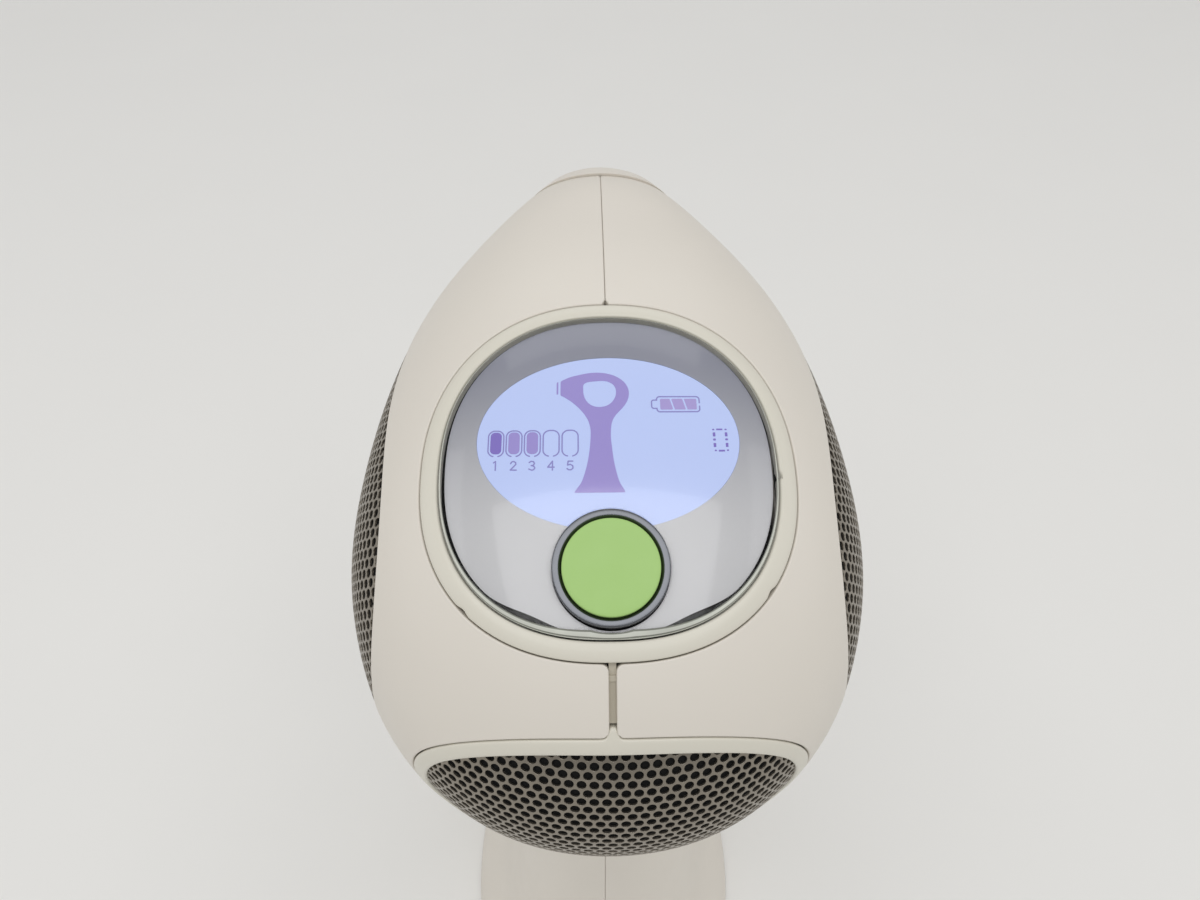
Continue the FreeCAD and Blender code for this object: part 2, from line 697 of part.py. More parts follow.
# ---------------------------------------------------------------- the nose
NOSE_Z = head_z(173)
RING_HALF_X = size("ring_width") / 2
RING_HALF_Z = size("ring_height") / 2
RING_POWER = 5
NOSE_FACE_Y = FAN_Y
RING_BACK_Y = NOSE_FACE_Y - WALL - 1.7
HOLDER_FRONT_Y = NOSE_FACE_Y - 11
HOLDER_BACK_Y = HOLDER_FRONT_Y - 8.3
HOLDER_HALF_X = "ring_width / 2 + 2.2"
HOLDER_HALF_Z = 9
LAMP_Y = HOLDER_FRONT_Y - 2.6
TROUGH_RADIUS = 6.4
SINK_BACK_Y = HOLDER_BACK_Y - 15.5
SINK_HALF_Z = 10.5


def nose_prism(name, grow, start, end):
    """The contact ring's outline, grown all round, between two places along Y."""
    centre = Vector(0, 0, NOSE_Z)
    return oval_prism(name, RING_HALF_X + grow, RING_HALF_Z + grow, RING_POWER, centre,
                      Vector(0, 1, 0), start, end)


def build_nose():
    front = box("TipZone", (BIG, BIG, BIG), (-BIG / 2, TIP_SEAM_Y + SEAT, 0))
    behind_face = box("BehindFace", (BIG, BIG, BIG), (-BIG / 2, NOSE_FACE_Y - WALL - BIG, 0))
    hollow = common("TipHollow", skin(WALL), behind_face)
    mouth = nose_prism("TipMouth", size("slide_gap"), NOSE_FACE_Y - 20, NOSE_FACE_Y + 10)
    node(cut("tip_frame", common("TipBlank", skin(0), front), [hollow, mouth]))
    flange_front = NOSE_FACE_Y - WALL - 0.4
    ring_front = NOSE_FACE_Y + size("ring_stand")
    ring = nose_prism("RingBody", 0, RING_BACK_Y, ring_front)
    flange_blank = nose_prism("RingFlangeBlank", 0.8, RING_BACK_Y, flange_front)
    flange = common("RingFlange", flange_blank, skin(WALL + GAP))
    inside = -size("ring_rim")
    ring_bore = nose_prism("RingBore", inside, RING_BACK_Y - 5, ring_front + 5)
    node(cut("contact_ring", fuse("RingBlank", [ring, flange]), [ring_bore]))
    duct_out = inside - size("slide_gap")
    duct_in = duct_out - size("duct_wall")
    duct_start = HOLDER_FRONT_Y + SEAT
    duct_end = NOSE_FACE_Y - 1.5
    tube = nose_prism("DuctTube", duct_out, duct_start, duct_end)
    flange_half_x = value(HOLDER_HALF_X)
    corner = (-flange_half_x, duct_start, NOSE_Z - HOLDER_HALF_Z)
    plate_front = duct_start + 1
    duct_plate = box("DuctPlate", ("2 * (%s)" % HOLDER_HALF_X, 1, 2 * HOLDER_HALF_Z), corner)
    flange = common("DuctFlange", duct_plate, skin(WALL + GAP))
    duct_bore = nose_prism("DuctBore", duct_in, duct_start - 5, duct_end + 5)
    node(cut("light_duct", fuse("DuctBlank", [tube, flange]), [duct_bore]))
    node(nose_prism("tip_window", duct_in - SEAT, duct_end - 2, duct_end))
    node(nose_prism("light_filter", duct_in - SEAT, duct_end - 3.2, duct_end - 2 - SEAT))
    spring_x = RING_HALF_X - size("ring_rim") / 2 + 0.4
    for side, sign in (("left", -1), ("right", 1)):
        base = (sign * spring_x, plate_front + SEAT, NOSE_Z)
        length = RING_BACK_Y - plate_front - 2 * SEAT
        sleeve = cylinder("SpringOut_" + side, 1.1, length, base, (0, 1, 0))
        core = cylinder("SpringIn_" + side, 0.7, length, base, (0, 1, 0))
        node(cut("ring_spring_" + side, sleeve, [core]))
    magnet_z = NOSE_Z + RING_HALF_Z - 0.4
    node(cylinder("ring_magnet", 1, 1.8, (0, RING_BACK_Y - SEAT - 1.8, magnet_z), (0, 1, 0)))
    node(box("ring_sensor", (4, 1.8, 2), (-2, plate_front + SEAT, NOSE_Z + RING_HALF_Z - 1.75)))


def build_lamp():
    """The holder with its trough, the reflector sheet in it, and the flash tube with a cap at each end."""
    half_x = value(HOLDER_HALF_X)
    x_axis = (1, 0, 0)
    corner = (-half_x, HOLDER_BACK_Y, NOSE_Z - HOLDER_HALF_Z)
    lengths = ("2 * (%s)" % HOLDER_HALF_X, HOLDER_FRONT_Y - HOLDER_BACK_Y, 2 * HOLDER_HALF_Z)
    block = box("HolderBlock", lengths, corner)
    trough_half = half_x - 1.6
    trough_end = (-trough_half, HOLDER_FRONT_Y, NOSE_Z)
    trough = cylinder("Trough", TROUGH_RADIUS + SEAT, 2 * trough_half, trough_end, x_axis)
    cap_radius = "lamp_radius + 0.2"
    bore_end = (-half_x - 1, LAMP_Y, NOSE_Z)
    lamp_bore = cylinder("LampBore", cap_radius + " + running_gap", 2 * half_x + 2, bore_end, x_axis)
    node(cut("lamp_holder", block, [trough, lamp_bore]))
    sheet_half = trough_half - SEAT
    sheet_end = (-sheet_half, HOLDER_FRONT_Y, NOSE_Z)
    outside = cylinder("ReflectorOut", TROUGH_RADIUS, 2 * sheet_half, sheet_end, x_axis)
    inside = cylinder("ReflectorIn", TROUGH_RADIUS - 0.5, 2 * sheet_half, sheet_end, x_axis)
    front = box("ReflectorFront", (BIG, BIG, BIG), (-BIG / 2, HOLDER_FRONT_Y, 0))
    node(cut("reflector", outside, [inside, front]))
    cap_start = trough_half + 0.1
    cap_length = half_x - 0.1 - cap_start
    tube_end = (-half_x + 0.1, LAMP_Y, NOSE_Z)
    tube = cylinder("LampTube", "lamp_radius", 2 * half_x - 0.2, tube_end, x_axis)
    left_cap = cylinder("LampCap_left", cap_radius, cap_length, tube_end, x_axis)
    right_cap = cylinder("LampCap_right", cap_radius, cap_length, (cap_start, LAMP_Y, NOSE_Z), x_axis)
    node(fuse("flash_lamp", [tube, left_cap, right_cap]))
    build_heat_sink()


def build_heat_sink():
    """A comb of seven fins behind the lamp holder, padded up along Z."""
    fins = 7
    fin = 1.2
    half = value(HOLDER_HALF_X)
    pitch = (2 * half - fin) / (fins - 1)
    front = HOLDER_BACK_Y - SEAT
    back_plate = front - 3
    points = [(half, front), (-half, front)]
    for index in range(fins):
        left = -half + index * pitch
        if index > 0:
            points.append((left, back_plate))
        points += [(left, SINK_BACK_Y), (left + fin, SINK_BACK_Y)]
        if index < fins - 1:
            points.append((left + fin, back_plate))
    texts = [("%g" % x, "%g" % y) for x, y in points]
    placement = Placement(Vector(0, 0, NOSE_Z - SINK_HALF_Z), Rotation())
    node(plate("heat_sink", texts, str(2 * SINK_HALF_Z), placement))


# ---------------------------------------------------------------- fan, capacitor, boards, web
FAN_CENTRE_Y = head_y(-1)
FAN_CENTRE_Z = head_z(162)
FAN_X = WEB_HALF + SEAT
CAP_Y = head_y(30.5)
CAP_Z = head_z(151.5)
WEB_FOOT_Z = NECK_Z - 3
DRIVER_X = -4.4
BLADES = 7


def build_fan():
    half = size("fan_size") / 2
    x_axis = (1, 0, 0)
    corner = (FAN_X, FAN_CENTRE_Y - half, FAN_CENTRE_Z - half)
    block = box("FanBlock", ("fan_depth", "fan_size", "fan_size"), corner)
    centre = (FAN_X, FAN_CENTRE_Y, FAN_CENTRE_Z)
    bore = cylinder("FanBore", "fan_size / 2 - 1.4", "fan_depth", centre, x_axis)
    seat_x = FAN_X + size("fan_depth") - 1.4
    seat_base = (seat_x, FAN_CENTRE_Y, FAN_CENTRE_Z)
    seat = cylinder("FanSeat", "fan_size * 0.2", 1.4, seat_base, x_axis)
    struts = []
    for index in range(3):
        turn = Rotation(Vector(1, 0, 0), 120 * index + 30)
        place = Vector(*seat_base) + turn.multVec(Vector(0, -1, 0))
        strut = box("FanStrut%d" % index, (1.4, 2, "fan_size / 2 - 1"), place, turn)
        struts.append(strut)
    bearing_base = (seat_x - 1, FAN_CENTRE_Y, FAN_CENTRE_Z)
    bearing = cylinder("FanBearing", "fan_shaft_radius + running_gap", 3, bearing_base, x_axis)
    holes = []
    for sign_y, sign_z in ((-1, 1), (1, -1)):
        y, z = fan_screw_place(sign_y, sign_z)
        holes.append(cylinder("FanHole%d" % sign_y, "1.5 + running_gap", BIG / 10, (0, y, z), x_axis))
    ring = cut("FanRing", block, [bore])
    node(cut("fan_frame", fuse("FanFrameBlank", [ring, seat] + struts), [bearing] + holes))
    hub_start = FAN_X + 0.6
    hub_base = (hub_start, FAN_CENTRE_Y, FAN_CENTRE_Z)
    hub_length = seat_x - 0.4 - hub_start
    hub = cylinder("FanHub", "fan_size * 0.21", hub_length, hub_base, x_axis)
    shaft = cylinder("FanShaft", "fan_shaft_radius", hub_length + 1.6, hub_base, x_axis)
    blades = []
    for index in range(BLADES):
        around = Rotation(Vector(1, 0, 0), 360 / BLADES * index)
        pitch = Rotation(Vector(0, 0, 1), 52)
        turn = around.multiply(pitch)
        middle = Vector(hub_start + hub_length / 2, FAN_CENTRE_Y, FAN_CENTRE_Z)
        place = middle + turn.multVec(Vector(-4.5, -0.5, 6))
        blades.append(box("FanBlade%d" % index, (9, 1, "fan_size / 2 - 1.4 - 0.5 - 6"), place, turn))
    band = cylinder("BladeBand", "fan_size / 2 - 1.4 - 0.4", hub_length, hub_base, x_axis)
    trimmed = common("BladesTrimmed", fuse("Blades", blades), band)
    node(fuse("fan_rotor", [hub, shaft, trimmed]))
    grip = "-(web_depth + 2)"
    head_seat = "fan_depth + seat_gap"
    for name, sign in (("upper", -1), ("lower", 1)):
        y, z = fan_screw_place(sign, -sign)
        placement = Placement(Vector(FAN_X, y, z), Rotation(Vector(0, 0, 1), Vector(1, 0, 0)))
        node(screw("fan_screw_" + name, "1.5", "2.8", grip, head_seat, "1.2", placement))


def screw(name, shank, head, tip, seat, head_depth, placement):
    """A pan-head screw turned about its axis: shank from tip to seat, head above the seat."""
    top = "%s + %s" % (seat, head_depth)
    profile = [("0", tip), (shank, tip), (shank, seat), (head, seat), (head, top), ("0", top)]
    return revolved(name, profile, placement)


def fan_screw_place(sign_y, sign_z):
    offset = size("fan_size") / 2 - 3.6
    return FAN_CENTRE_Y + sign_y * offset, FAN_CENTRE_Z + sign_z * offset


def build_head_electronics():
    """The chassis web on the centre plane and what it carries in the head."""
    radius = size("capacitor_radius")
    turns = [math.radians(45 * index) for index in range(8)]
    rim = [(CAP_Y + radius * math.cos(turn), CAP_Z + radius * math.sin(turn)) for turn in turns]
    half = min(room(y, z, WALL + GAP) for y, z in rim)
    x_axis = (1, 0, 0)
    node(cylinder("storage_capacitor", "capacitor_radius", "%g" % (2 * half), (-half, CAP_Y, CAP_Z), x_axis))
    web_zone = box("WebZone", ("web_depth", BIG, BIG), (-WEB_HALF, -BIG / 2, WEB_FOOT_Z + SEAT))
    blank = common("WebBlank", skin(WALL + GAP), web_zone)
    along = DISPLAY_ALONG * -(size("window_length") / 2 + 1)
    corner = DISPLAY_CENTRE + along - Vector(BIG / 10, 0, 0) + DISPLAY_AXIS * (DISPLAY_BOTTOM - SEAT)
    display_turn = Rotation(Vector(1, 0, 0), DISPLAY_ALONG, DISPLAY_AXIS, "XYZ")
    display_zone = box("DisplayZone", (BIG / 5, "window_length + 2", 40), corner, display_turn)
    button_low = -SWITCH_DEPTH - size("board_depth") - 2 * SEAT
    button_zone = button_cylinder("ButtonZone", GUIDE_RADIUS + " + clearance", button_low, 10)
    lamp_low = (-BIG / 2, SINK_BACK_Y - SEAT, NOSE_Z - SINK_HALF_Z - SEAT)
    lamp_zone = box("LampZone", (BIG, BIG, 2 * (SINK_HALF_Z + SEAT)), lamp_low)
    tip_zone = box("TipClear", (BIG, BIG, BIG), (-BIG / 2, TIP_SEAM_Y - GAP, 0))
    fan_air = cylinder("FanAir", "fan_size / 2 - 1.4", 20, (-10, FAN_CENTRE_Y, FAN_CENTRE_Z), x_axis)
    cap_hole = cylinder("CapHole", "capacitor_radius + panel_gap", 20, (-10, CAP_Y, CAP_Z), x_axis)
    tools = [display_zone, button_zone, lamp_zone, tip_zone, fan_air, cap_hole]
    for name, (y, z) in BOSS_PLACES.items():
        tools.append(cylinder("WebBore_" + name, "screw_radius + panel_gap", 20, (-10, y, z), x_axis))
    for sign in (-1, 1):
        y, z = fan_screw_place(sign, -sign)
        tools.append(cylinder("WebFanBore%d" % sign, "1.5 + running_gap", 20, (-10, y, z), x_axis))
    posts = []
    board_back = DRIVER_X + SEAT
    post_length = -WEB_HALF - board_back + 0.5
    for index, (y, z) in enumerate(driver_posts()):
        posts.append(cylinder("WebPost%d" % index, 1.5, post_length, (board_back, y, z), x_axis))
    node(fuse("chassis_web", [cut("WebCut", blank, tools)] + posts))
    for name, (y, z) in BOSS_PLACES.items():
        placement = Placement(Vector(0, y, z), Rotation(Vector(0, 0, 1), Vector(1, 0, 0)))
        tip, seat = str(SCREW_END_X), "%g + seat_gap" % SCREW_SEAT_X
        node(screw("shell_screw_" + name, "screw_radius", "screw_head_radius", tip, seat, "1.6", placement))
    build_driver_board()


def driver_posts():
    reach = size("fan_size") / 2 - 2
    return [(FAN_CENTRE_Y + sy * reach, FAN_CENTRE_Z + sz * reach) for sy, sz in ((-1, -1), (1, 1))]


def build_driver_board():
    """A board left of the web with a round opening for the fan's air, and what stands on it."""
    turn = Rotation(Vector(0, 1, 0), Vector(0, 0, 1), Vector(1, 0, 0), "XYZ")
    placement = Placement(Vector(DRIVER_X - size("board_depth"), FAN_CENTRE_Y, FAN_CENTRE_Z), turn)
    outline = rectangle("fan_size / 2", "fan_size / 2")
    node(plate("driver_board", outline, "board_depth", placement, [("0", "0", "fan_size / 2 - 4")]))
    outer_x = DRIVER_X - size("board_depth") - SEAT
    reach = size("fan_size") / 2
    corner = (outer_x - 8, FAN_CENTRE_Y - reach + 0.5, FAN_CENTRE_Z + reach - 11)
    node(box("trigger_transformer", (8, 8, 10), corner))
    place = (-WEB_HALF - SEAT, head_y(-38), head_z(168))
    node(cylinder("buzzer", 4.5, 4, place, (-1, 0, 0)))


# ---------------------------------------------------------------- handle and foot
PLATE_LEVEL = value(PLATE_TOP)
COLLAR_RADIUS = "recess_radius + 6.5"
COLLAR_TOP = "recess_depth + 1.2"
CRADLE_WALL = 1.2
CELL_Y = -size("neck_setback") - 2.6
CRADLE_LOW = value(COLLAR_TOP) + SEAT
CELL_TOP_Z = WEB_FOOT_Z - 4.6
CELL_LOW_Z = CELL_TOP_Z - size("battery_length")
BOARD_Y = CELL_Y + size("battery_radius") + 0.2 + CRADLE_WALL + 1.6
CONTACT_X = 4.5


def build_handle():
    inner = "battery_radius + slide_gap"
    outer = "battery_radius + slide_gap + %g" % CRADLE_WALL
    tube = cylinder("CradleTube", outer, WEB_FOOT_Z - CRADLE_LOW, (0, CELL_Y, CRADLE_LOW))
    floor_top = CELL_LOW_Z - 0.5
    upper = cylinder("CradleUpper", inner, WEB_FOOT_Z - floor_top + 1, (0, CELL_Y, floor_top))
    lower = cylinder("CradleLower", inner, floor_top - 1.5 - CRADLE_LOW + 1, (0, CELL_Y, CRADLE_LOW - 1))
    posts = []
    for index, z in enumerate((board_low() + 5, board_high() - 5)):
        start = CELL_Y + size("battery_radius") + 0.7
        length = BOARD_Y - SEAT - start
        posts.append(cylinder("CradlePost%d" % index, 1.6, length, (0, start, z), (0, 1, 0)))
    bored = cut("CradleBored", fuse("CradleBlank", [tube] + posts), [upper, lower])
    node(common("battery_cradle", bored, skin(WALL + TILE)))
    node(cylinder("battery_cell", "battery_radius", "battery_length", (0, CELL_Y, CELL_LOW_Z)))
    node(cylinder("battery_contact_lower", "battery_radius * 0.6", 0.4, (0, CELL_Y, CELL_LOW_Z - 0.45)))
    node(cylinder("battery_contact_upper", "battery_radius * 0.6", 0.4, (0, CELL_Y, CELL_TOP_Z + 0.05)))
    cap_low = CELL_TOP_Z + 0.5
    node(cylinder("battery_cap", "battery_radius + 0.1", WEB_FOOT_Z - cap_low, (0, CELL_Y, cap_low)))
    build_main_board()


def board_low():
    return 0.24 * size("handle_height")


def board_high():
    return 0.94 * size("handle_height")


def build_main_board():
    """A tall board in front of the cradle, with its parts standing on its front face."""
    half_width = room(BOARD_Y + size("board_depth"), board_high(), WALL + GAP) - SEAT
    corner = (-half_width, BOARD_Y, board_low())
    lengths = ("%g" % (2 * half_width), "board_depth", board_high() - board_low())
    board = box("MainBoardSheet", lengths, corner)
    front = BOARD_Y + size("board_depth") - 0.1
    middle = (board_low() + board_high()) / 2
    chips = [
        box("Controller", (8, 1.2, 8), (-4, front, middle - 4)),
        box("Charger", (5, 1.6, 5), (-2.5, front, board_low() + 6)),
        box("Connector", (7, 2.4, 4), (-3.5, front, board_high() - 8)),
    ]
    node(fuse("main_board", [board] + chips))


def build_base():
    top = value(PLATE_TOP)
    slab = box("PlateSlab", (BIG, BIG, "base_depth"), (-BIG / 2, -BIG / 2, size("pad_depth")))
    sheet_form = common("PlateSheet", skin(WALL + TILE), slab)
    collar = cylinder("Collar", COLLAR_RADIUS, COLLAR_TOP, (0, 0, 0))
    recess = cylinder("Recess", "recess_radius", "recess_depth", (0, 0, 0))
    tools = [recess]
    for sign in (-1, 1):
        contact_base = (sign * CONTACT_X, 0, 0)
        tools.append(cylinder("ContactBore%d" % sign, "1.5 + seat_gap", 20, contact_base))
        screw_base = (sign * FOOT_BOSS_X, 0, 0)
        tools.append(cylinder("BaseBore%d" % sign, "screw_radius + panel_gap", 20, screw_base))
        head_radius = "screw_head_radius + panel_gap"
        tools.append(cylinder("BaseHead%d" % sign, head_radius, "pad_depth + 1.7", screw_base))
    node(cut("base_plate", fuse("PlateBlank", [sheet_form, collar]), tools))
    pad_slab = box("PadSlab", (BIG, BIG, "pad_depth - seat_gap"), (-BIG / 2, -BIG / 2, 0))
    pad_form = common("PadSheet", skin(WALL + TILE), pad_slab)
    collar_clear = cylinder("CollarClear", COLLAR_RADIUS + " + panel_gap", 20, (0, 0, -5))
    node(cut("foot_pad", pad_form, [collar_clear]))
    contact_low = size("recess_depth")
    contact_top = CRADLE_LOW + 0.9
    for side, sign in (("left", -1), ("right", 1)):
        base = (sign * CONTACT_X, 0, contact_low)
        node(cylinder("charge_contact_" + side, 1.5, contact_top - contact_low, base))
        placement = Placement(Vector(sign * FOOT_BOSS_X, 0, 0), Rotation())
        profile = [
            ("0", "pad_depth + 0.1"), ("screw_head_radius", "pad_depth + 0.1"),
            ("screw_head_radius", "pad_depth + 1.6"), ("screw_radius", "pad_depth + 1.6"),
            ("screw_radius", "pad_depth + 9"), ("0", "pad_depth + 9"),
        ]
        node(revolved("base_screw_" + side, profile, placement))
    board_z = contact_top + SEAT
    node(cylinder("charge_board", "battery_radius - 0.1", "board_depth", (0, CELL_Y, board_z)))


# ---------------------------------------------------------------- build, test and write
def check_document():
    doc.recompute()
    for piece in doc.Objects:
        if "Invalid" in piece.State or "Error" in piece.State:
            raise RuntimeError("%s failed: %s" % (piece.Name, piece.State))
    for piece in nodes:
        if piece.Shape.isNull() or not piece.Shape.isValid():
            raise RuntimeError("%s has no valid shape" % piece.Label)


def write_parts():
    os.makedirs("parts", exist_ok=True)
    for piece in nodes:
        piece.Shape.exportStep("parts/%s.step" % piece.Label)
        print("%-24s %2d solids %10.1f mm3" % (piece.Label, len(piece.Shape.Solids), piece.Shape.Volume))


build_shells()
build_panels()
build_display()
build_button()
build_nose()
build_lamp()
build_fan()
build_head_electronics()
build_handle()
build_base()
check_document()
write_parts()
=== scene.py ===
import json
import math

import bmesh
import bpy
import numpy as np
from bpy.props import FloatProperty, FloatVectorProperty, PointerProperty
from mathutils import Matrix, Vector


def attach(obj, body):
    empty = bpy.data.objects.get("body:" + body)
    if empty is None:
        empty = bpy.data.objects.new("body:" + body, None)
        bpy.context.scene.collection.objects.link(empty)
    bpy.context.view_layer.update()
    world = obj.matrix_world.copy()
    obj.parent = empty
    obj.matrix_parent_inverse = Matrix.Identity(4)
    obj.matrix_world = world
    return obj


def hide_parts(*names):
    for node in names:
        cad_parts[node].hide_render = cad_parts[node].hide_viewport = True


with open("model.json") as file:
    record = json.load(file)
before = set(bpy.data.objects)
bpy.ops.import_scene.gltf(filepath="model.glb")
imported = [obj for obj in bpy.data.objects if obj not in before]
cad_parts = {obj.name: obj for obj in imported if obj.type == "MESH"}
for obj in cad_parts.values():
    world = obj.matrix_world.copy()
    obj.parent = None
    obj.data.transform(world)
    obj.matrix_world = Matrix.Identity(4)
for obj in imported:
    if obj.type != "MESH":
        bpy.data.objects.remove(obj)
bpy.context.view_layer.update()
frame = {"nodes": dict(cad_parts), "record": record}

bl_info = {
    "name": "Hair Remover Looks",
    "version": (1, 0, 0),
    "blender": (4, 5, 0),
    "location": "3D View > Sidebar > Hair Remover",
    "description": "Builds the visible pieces and finishes of a cordless hair remover around its frame",
    "category": "Object",
}

MM = 0.001


def linear(code):
    """The linear colour of an sRGB hex code: each share over 12.92 below 0.04045, otherwise raised as the sRGB
    curve says.
    """
    shares = [int(code[at : at + 2], 16) / 255 for at in (1, 3, 5)]
    return [s / 12.92 if s <= 0.04045 else ((s + 0.055) / 1.055) ** 2.4 for s in shares]


# ------------------------------------------------------------------ sizes and colours a user would change
def length(name, description, millimetres):
    return FloatProperty(
        name=name, description=description, default=millimetres * MM, min=0, unit="LENGTH", precision=5
    )


def colour(name, description, code):
    return FloatVectorProperty(
        name=name, description=description, default=linear(code), min=0, max=1, subtype="COLOR"
    )


class HairRemoverSizes(bpy.types.PropertyGroup):
    wall: length("Shell wall", "Thickness of the moulded shells", 2.2)
    edge_roll: length("Edge roll", "Radius of the shells' rolled edges", 0.22)
    bezel_rim: length("Bezel width", "Width of the ring round the display window", 2.4)
    panel_gap: length("Panel gap", "Gap between a panel and the shell", 0.15)
    window_depth: length("Window thickness", "Thickness of the clear display window", 0.5)
    hole_pitch: length("Hole pitch", "Distance between neighbouring holes of the grilles", 1.6)
    hole_width: length("Hole width", "Diameter of the grilles' holes", 1.22)
    sheet_depth: length("Grille sheet", "Thickness of the perforated sheet", 0.30)


class HairRemoverColours(bpy.types.PropertyGroup):
    shell: colour("Shell", "Cream moulded shells", "#DFD9CF")
    trim: colour("Trim", "Display ring and grille frame", "#DAD6C9")
    deck: colour("Deck", "Silver-grey deck under the window", "#CCCCCE")
    lit_display: colour("Lit display", "Pale blue of the lit display", "#BECDF8")
    symbols: colour("Symbols", "Violet of the display's symbols", "#9B8FCF")
    button: colour("Button", "Green of the power button", "#A5CB78")
    grille: colour("Grille", "Grey-brown coated steel of the grilles", "#8F887D")


# ------------------------------------------------------------------ curves and the outer form, in millimetres
def natural_spline(knots, values):
    """A cubic spline through the values with no bend at either end: the bends at the knots solve the usual three-
    term rows.
    """
    knots, values = np.asarray(knots, float), np.asarray(values, float)
    step = np.diff(knots)
    rise = np.diff(values) / step
    count = len(knots)
    inner = np.arange(1, count - 1)
    rows, right = np.eye(count), np.zeros(count)
    rows[inner, inner - 1] = step[:-1]
    rows[inner, inner] = 2 * (step[:-1] + step[1:])
    rows[inner, inner + 1] = step[1:]
    right[inner] = 6 * np.diff(rise)
    bend = np.linalg.solve(rows, right)

    def at(place):
        k = np.clip(np.searchsorted(knots, place) - 1, 0, count - 2)
        ahead, width = place - knots[k], step[k]
        slope = rise[k] - width * (2 * bend[k] + bend[k + 1]) / 6
        return values[k] + ahead * (slope + ahead * (bend[k] / 2 + ahead * (bend[k + 1] - bend[k]) / (6 * width)))

    return at


def evenly(points, count):
    """The given number of points, evenly spaced along a closed polyline."""
    closed = np.vstack([points, points[:1]])
    run = np.concatenate([[0], np.cumsum(np.linalg.norm(np.diff(closed, axis=0), axis=1))])
    places = np.linspace(0, run[-1], count, endpoint=False)
    return np.stack([np.interp(places, run, closed[:, k]) for k in range(closed.shape[1])], 1)


def closed_curve(points, count):
    """A smooth closed curve through a few points: both coordinates as splines of the chord length, run three times
    round and the middle turn kept.
    """
    points = np.asarray(points, float)
    around = np.vstack([points, points, points, points[:1]])
    run = np.concatenate([[0], np.cumsum(np.linalg.norm(np.diff(around, axis=0), axis=1))])
    turn = run[len(points)]
    places = turn + np.linspace(0, turn, 1200, endpoint=False)
    dense = np.stack([natural_spline(run, around[:, k])(places) for k in range(2)], 1)
    return evenly(dense, count)


def superellipse(half_across, half_along, power, count=240):
    """The closed curve where |x/a|^p + |y/b|^p is one, with its points evenly spaced."""
    turn = np.linspace(0, 2 * math.pi, 4000, endpoint=False)
    reach = [np.sign(f(turn)) * np.abs(f(turn)) ** (2 / power) for f in (np.cos, np.sin)]
    return evenly(np.stack([half_across * reach[0], half_along * reach[1]], 1), count)


# The head is a fan of sections about a line along X; below the neck the sections are level.
# Fan angle in degrees, inner radius, outer radius, half-width.
HEAD = np.array([
    (90, 66.4, 89.6, 10.1), (90.5, 65.1, 90.9, 11.2), (91.5, 64.4, 91.9, 12.2), (98, 61.7, 97.5, 16.8),
    (106, 58.6, 104.7, 23.7), (114, 56.2, 113.9, 29.9), (122, 54.5, 124.0, 34.3), (130, 53.3, 133.6, 37.3),
    (138, 52.7, 140.4, 38.5), (143, 52.5, 142.0, 37.1), (147, 52.4, 140.6, 34.6), (150.5, 52.4, 137.0, 30.6),
    (154, 52.4, 129.8, 26.4), (157.5, 52.4, 118.5, 22.8), (161, 52.3, 103.5, 20.2), (165, 52.2, 94.0, 17.7),
    (172, 52.1, 87.8, 15.6), (180, 51.9, 86.0, 15.2),
])
# Height as a share of the handle, and how far the section has flared from the neck's to the foot's.
FLARE = np.array([(0.8, 0.045), (0.6, 0.14), (0.42, 0.275), (0.26, 0.45), (0.13, 0.67), (0.03, 0.945), (0, 1)])
FAN_Y, NECK_Z = 65.95, 95.0
FOOT_HALF_LENGTH, FOOT_HALF_WIDTH = 42.2, 35.0
FULLNESS = 0.06
DEGREE_LENGTH = 1.204


def body_sections():
    """Splines of the inner radius, outer radius and half-width over the place along the body: the fan angle down to
    180, then 1.204 mm of handle a unit.
    """
    place, inner, outer, half = HEAD.T
    share, flare = FLARE.T
    low_place = 180 + NECK_Z * (1 - share) / DEGREE_LENGTH
    low_inner = inner[-1] + flare * (FAN_Y - FOOT_HALF_LENGTH - inner[-1])
    low_outer = outer[-1] + flare * (FAN_Y + FOOT_HALF_LENGTH - outer[-1])
    low_half = half[-1] + flare * (FOOT_HALF_WIDTH - half[-1])
    knots = np.concatenate([place, low_place])
    return [
        natural_spline(knots, np.concatenate(pair))
        for pair in ((inner, low_inner), (outer, low_outer), (half, low_half))
    ]


INNER, OUTER, HALF_WIDTH = body_sections()
FOOT_PLACE = 180 + NECK_Z / DEGREE_LENGTH


def form(place, turn):
    """A point of the outer form: its radius is the section's middle plus half its depth times cos(turn), and it
    stands off the centre plane by the half-width times (sin(turn) + 0.06 sin(3 turn)) over 0.94.
    """
    inner, outer, half = INNER(place), OUTER(place), HALF_WIDTH(place)
    radius = (inner + outer) / 2 + (outer - inner) / 2 * np.cos(turn)
    across = half / (1 - FULLNESS) * (np.sin(turn) + FULLNESS * np.sin(3 * turn))
    angle = np.radians(np.minimum(place, 180))
    down = np.maximum(place - 180, 0) * DEGREE_LENGTH
    return np.stack([across, FAN_Y + radius * np.cos(angle), NECK_Z + radius * np.sin(angle) - down], -1)


def skin(place, turn, depth=0.0):
    """Points a depth under the form and the form's outward normals, from the cross product of its two central
    differences.
    """
    place, turn = np.asarray(place, float), np.asarray(turn, float)
    normal = np.cross(
        form(place + 0.05, turn) - form(place - 0.05, turn), form(place, turn + 0.002) - form(place, turn - 0.002)
    )
    normal /= np.linalg.norm(normal, axis=-1, keepdims=True)
    return form(place, turn) - normal * np.asarray(depth)[..., None], normal


